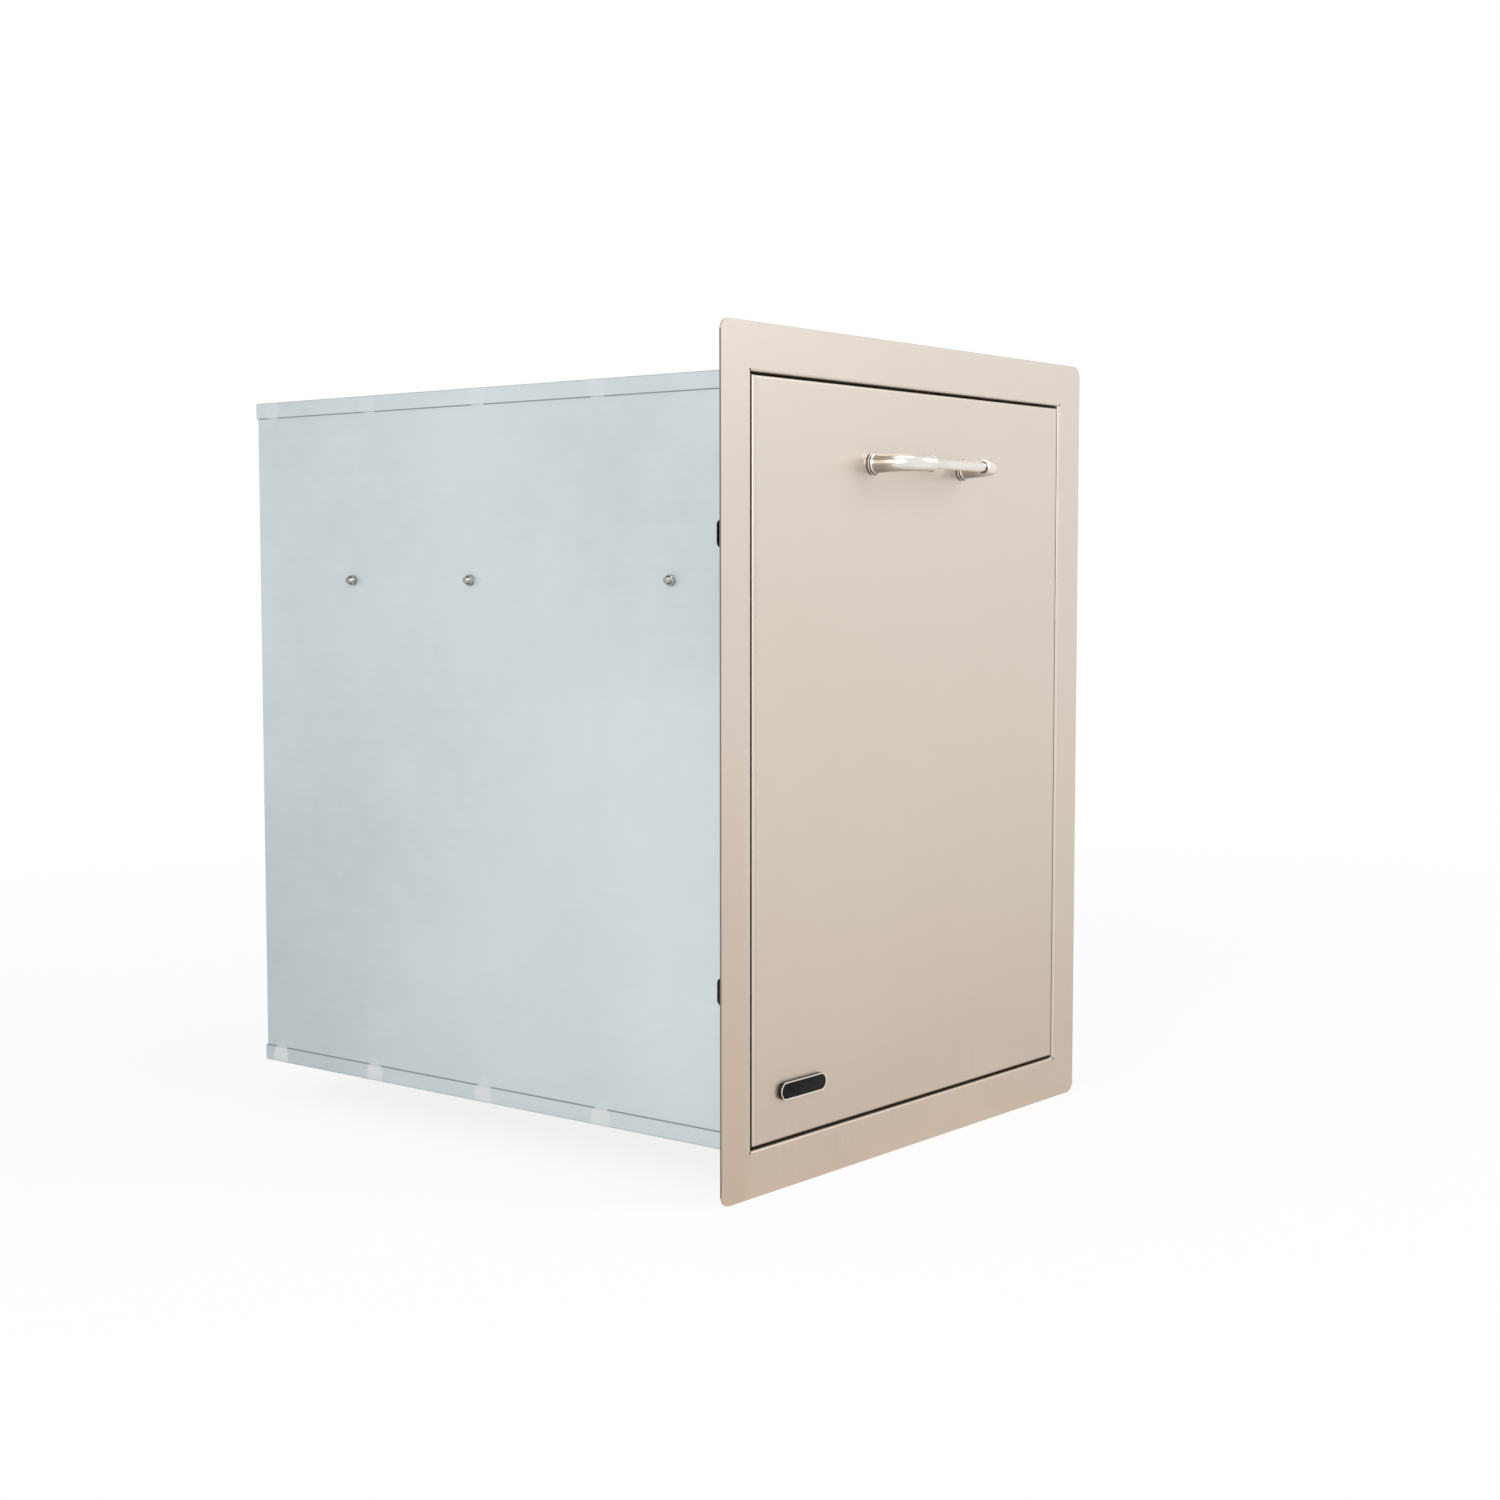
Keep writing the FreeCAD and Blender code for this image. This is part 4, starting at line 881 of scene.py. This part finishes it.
BIN_DEPTHS = {"front": 0.146375, "rear": 0.402125}
BIN_TOP = 0.179
BIN_LOW = -0.265
BIN_MOUTH = (0.3698, 0.21295)
BIN_FOOT = (0.3178, 0.16095)
BIN_TAPER = (BIN_FOOT[0] / BIN_MOUTH[0], BIN_FOOT[1] / BIN_MOUTH[1], 1)
BIN_CORNER = 0.032
BIN_WALL = 0.0022
BIN_FLOOR = 0.0025
RIM_LOW = 0.169
RIM_TOP = 0.172
RIM_WIDTH = 0.0119
RIM_LIFT = 0.00098

moulded = Finish("bin_plastic")
texture = moulded.noise(1300.0, 2.0, 0.6)
flow = moulded.noise(1.0, 4.0, 0.55, moulded.stretched((9.0, 9.0, 2.5)))
rubs = moulded.noise(1.0, 5.0, 0.7, moulded.stretched((26.0, 26.0, 150.0))).ramp(0.6, 0.74)
plastic = moulded.blend(flow.ramp(0.3, 0.7), (0.055, 0.056, 0.058), (0.075, 0.076, 0.077))
moulded.relief(texture, 0.00006)
moulded.surface(
    Base_Color=moulded.blend(rubs * 0.35, plastic, (0.16, 0.16, 0.155)),
    Roughness=0.48 + texture.swing(0.16) + rubs * 0.1,
)


def tub(centre_y):
    """Tapering tub with rounded corners, an inner wall and a flat rim drawn out under its lip."""
    foot = (0, centre_y, BIN_LOW)
    bpy.ops.object.select_all(action="DESELECT")
    bpy.ops.mesh.primitive_cube_add(size=1, location=(0, centre_y, (BIN_TOP + BIN_LOW) / 2))
    bpy.ops.transform.resize(value=(*BIN_MOUTH, BIN_TOP - BIN_LOW))
    bpy.ops.object.transform_apply(location=True, rotation=True, scale=True)
    bin_shell = bpy.context.object
    pick(bin_shell, "FACE", lambda face: face.normal.z < -0.9)
    bpy.ops.transform.resize(value=BIN_TAPER, center_override=foot)
    bpy.ops.object.mode_set(mode="OBJECT")
    pick(bin_shell, "EDGE", lambda edge: abs(edge_run(bin_shell, edge).z) > 0.2)
    bpy.ops.mesh.bevel(
        offset=BIN_CORNER, offset_type="OFFSET", segments=10, affect="EDGES", clamp_overlap=False
    )
    for level in (RIM_LOW, RIM_TOP):
        bpy.ops.mesh.select_all(action="SELECT")
        bpy.ops.mesh.bisect(plane_co=(0, centre_y, level), plane_no=(0, 0, 1))
    bpy.ops.object.mode_set(mode="OBJECT")

    pick(bin_shell, "FACE", lambda face: face.normal.z > 0.9)
    bpy.ops.mesh.inset(thickness=BIN_WALL, depth=0)
    bpy.ops.mesh.extrude_region_move(
        TRANSFORM_OT_translate={"value": (0, 0, BIN_LOW + BIN_FLOOR - BIN_TOP)}
    )
    bpy.ops.transform.resize(value=BIN_TAPER, center_override=foot)
    bpy.ops.object.mode_set(mode="OBJECT")

    middle = Vector((0, centre_y, (RIM_LOW + RIM_TOP) / 2))

    def under_lip(face):
        """Whether a face belongs to the outside strip that the rim is drawn from."""
        outside = face.normal.dot(face.center - middle) > 0
        return outside and abs(face.center.z - middle.z) < 0.001

    pick(bin_shell, "FACE", under_lip)
    bpy.ops.mesh.extrude_region_shrink_fatten(
        TRANSFORM_OT_shrink_fatten={"value": RIM_WIDTH, "use_even_offset": True}
    )
    bpy.ops.transform.translate(value=(0, 0, RIM_LIFT))
    bpy.ops.object.mode_set(mode="OBJECT")
    soften = bin_shell.modifiers.new("soften", "BEVEL")
    soften.width = 0.0008
    soften.segments = 2
    soften.limit_method = "ANGLE"
    soften.angle_limit = math.radians(40)
    bpy.ops.object.modifier_apply(modifier=soften.name)
    bpy.ops.object.mode_set(mode="EDIT")
    bpy.ops.mesh.select_all(action="SELECT")
    bpy.ops.mesh.normals_make_consistent(inside=False)
    bpy.ops.object.mode_set(mode="OBJECT")
    bpy.ops.object.shade_smooth_by_angle(angle=math.radians(35))
    return bin_shell


for which, depth in BIN_DEPTHS.items():
    finished(
        tub(depth), which + "_tub", which + "_bin", "bin_plastic", moulded.material, "bin_" + which
    )


# Studio: a pale floor that keeps the drawer's soft shadow, a white surround, three large lamps
# and the camera at the photograph's viewpoint.

FLOOR_LEVEL = -0.3302
AIM = Vector((0, 0.2, 0))

bpy.ops.object.select_all(action="DESELECT")
bpy.ops.mesh.primitive_circle_add(vertices=64, radius=40, fill_type="NGON", location=(0, 0, FLOOR_LEVEL))
floor = bpy.context.object
bpy.ops.object.transform_apply(location=True, rotation=True, scale=True)
floor.name = "studio_floor"
paper = bpy.data.materials.new("studio_floor")
pale = Nodes(paper)
ground = pale.add("ShaderNodeSeparateXYZ", {}, Vector=pale.add("ShaderNodeTexCoord", {}).out("Object"))
away = (ground.out("X") ** 2 + ground.out("Y") ** 2) ** 0.5
white = pale.add("ShaderNodeEmission", {}, Color=(1, 1, 1, 1), Strength=1.0)
lit = pale.add("ShaderNodeBsdfDiffuse", {}, Color=(0.9, 0.9, 0.9, 1))
rays = pale.add("ShaderNodeLightPath", {})
by_camera = rays.out("Is Camera Ray") * (0.85 + away.ramp(0.5, 2.6) * 0.15)
in_gloss = rays.out("Is Glossy Ray") * away.ramp(1.0, 2.4)
mixed = pale.add("ShaderNodeMixShader", {}, Fac=by_camera.most(in_gloss))
pale.feed(mixed.socket.node.inputs[1], lit)
pale.feed(mixed.socket.node.inputs[2], white)
pale.add("ShaderNodeOutputMaterial", {}, Surface=mixed)
floor.data.materials.append(paper)

surround = bpy.data.worlds.new("studio_surround")
bpy.context.scene.world = surround
sky = Nodes(surround)
toward = sky.add("ShaderNodeSeparateXYZ", {}, Vector=sky.add("ShaderNodeTexCoord", {}).out("Generated"))
rays = sky.add("ShaderNodeLightPath", {})
by_camera = rays.out("Is Camera Ray")
directly = by_camera.most(rays.out("Is Glossy Ray")).most(rays.out("Is Transmission Ray"))
overhead = toward.out("Z").ramp(0.3, 0.9) * toward.out("Y").ramp(-0.1, 0.35) * (1 - by_camera)
glow = 0.56 + directly * (0.44 - 0.7 * overhead)
light = sky.add("ShaderNodeBackground", {}, Color=(1, 1, 1, 1), Strength=glow)
sky.add("ShaderNodeOutputWorld", {}, Surface=light)

for name, spot, size, power in (
    ("key_lamp", (1.7, -2.6, 2.1), 1.9, 48),
    ("side_lamp", (-3.0, -0.9, 1.25), 2.4, 48),
    ("top_lamp", (-0.3, 0.3, 3.2), 2.6, 20),
):
    bpy.ops.object.light_add(
        type="AREA", location=spot, rotation=(AIM - Vector(spot)).to_track_quat("-Z", "Y").to_euler()
    )
    lamp = bpy.context.object
    lamp.name = name
    lamp.data.shape = "DISK"
    lamp.data.size = size
    lamp.data.energy = power

bpy.ops.object.camera_add(
    location=(-1.5545, -1.0656, 0.1386),
    rotation=(math.radians(85.763), 0, math.radians(-51.411)),
)
camera = bpy.context.object
camera.data.lens = 54.84
camera.data.sensor_width = 36
camera.data.clip_end = 200
bpy.context.scene.camera = camera
bpy.context.scene.view_settings.view_transform = "Standard"
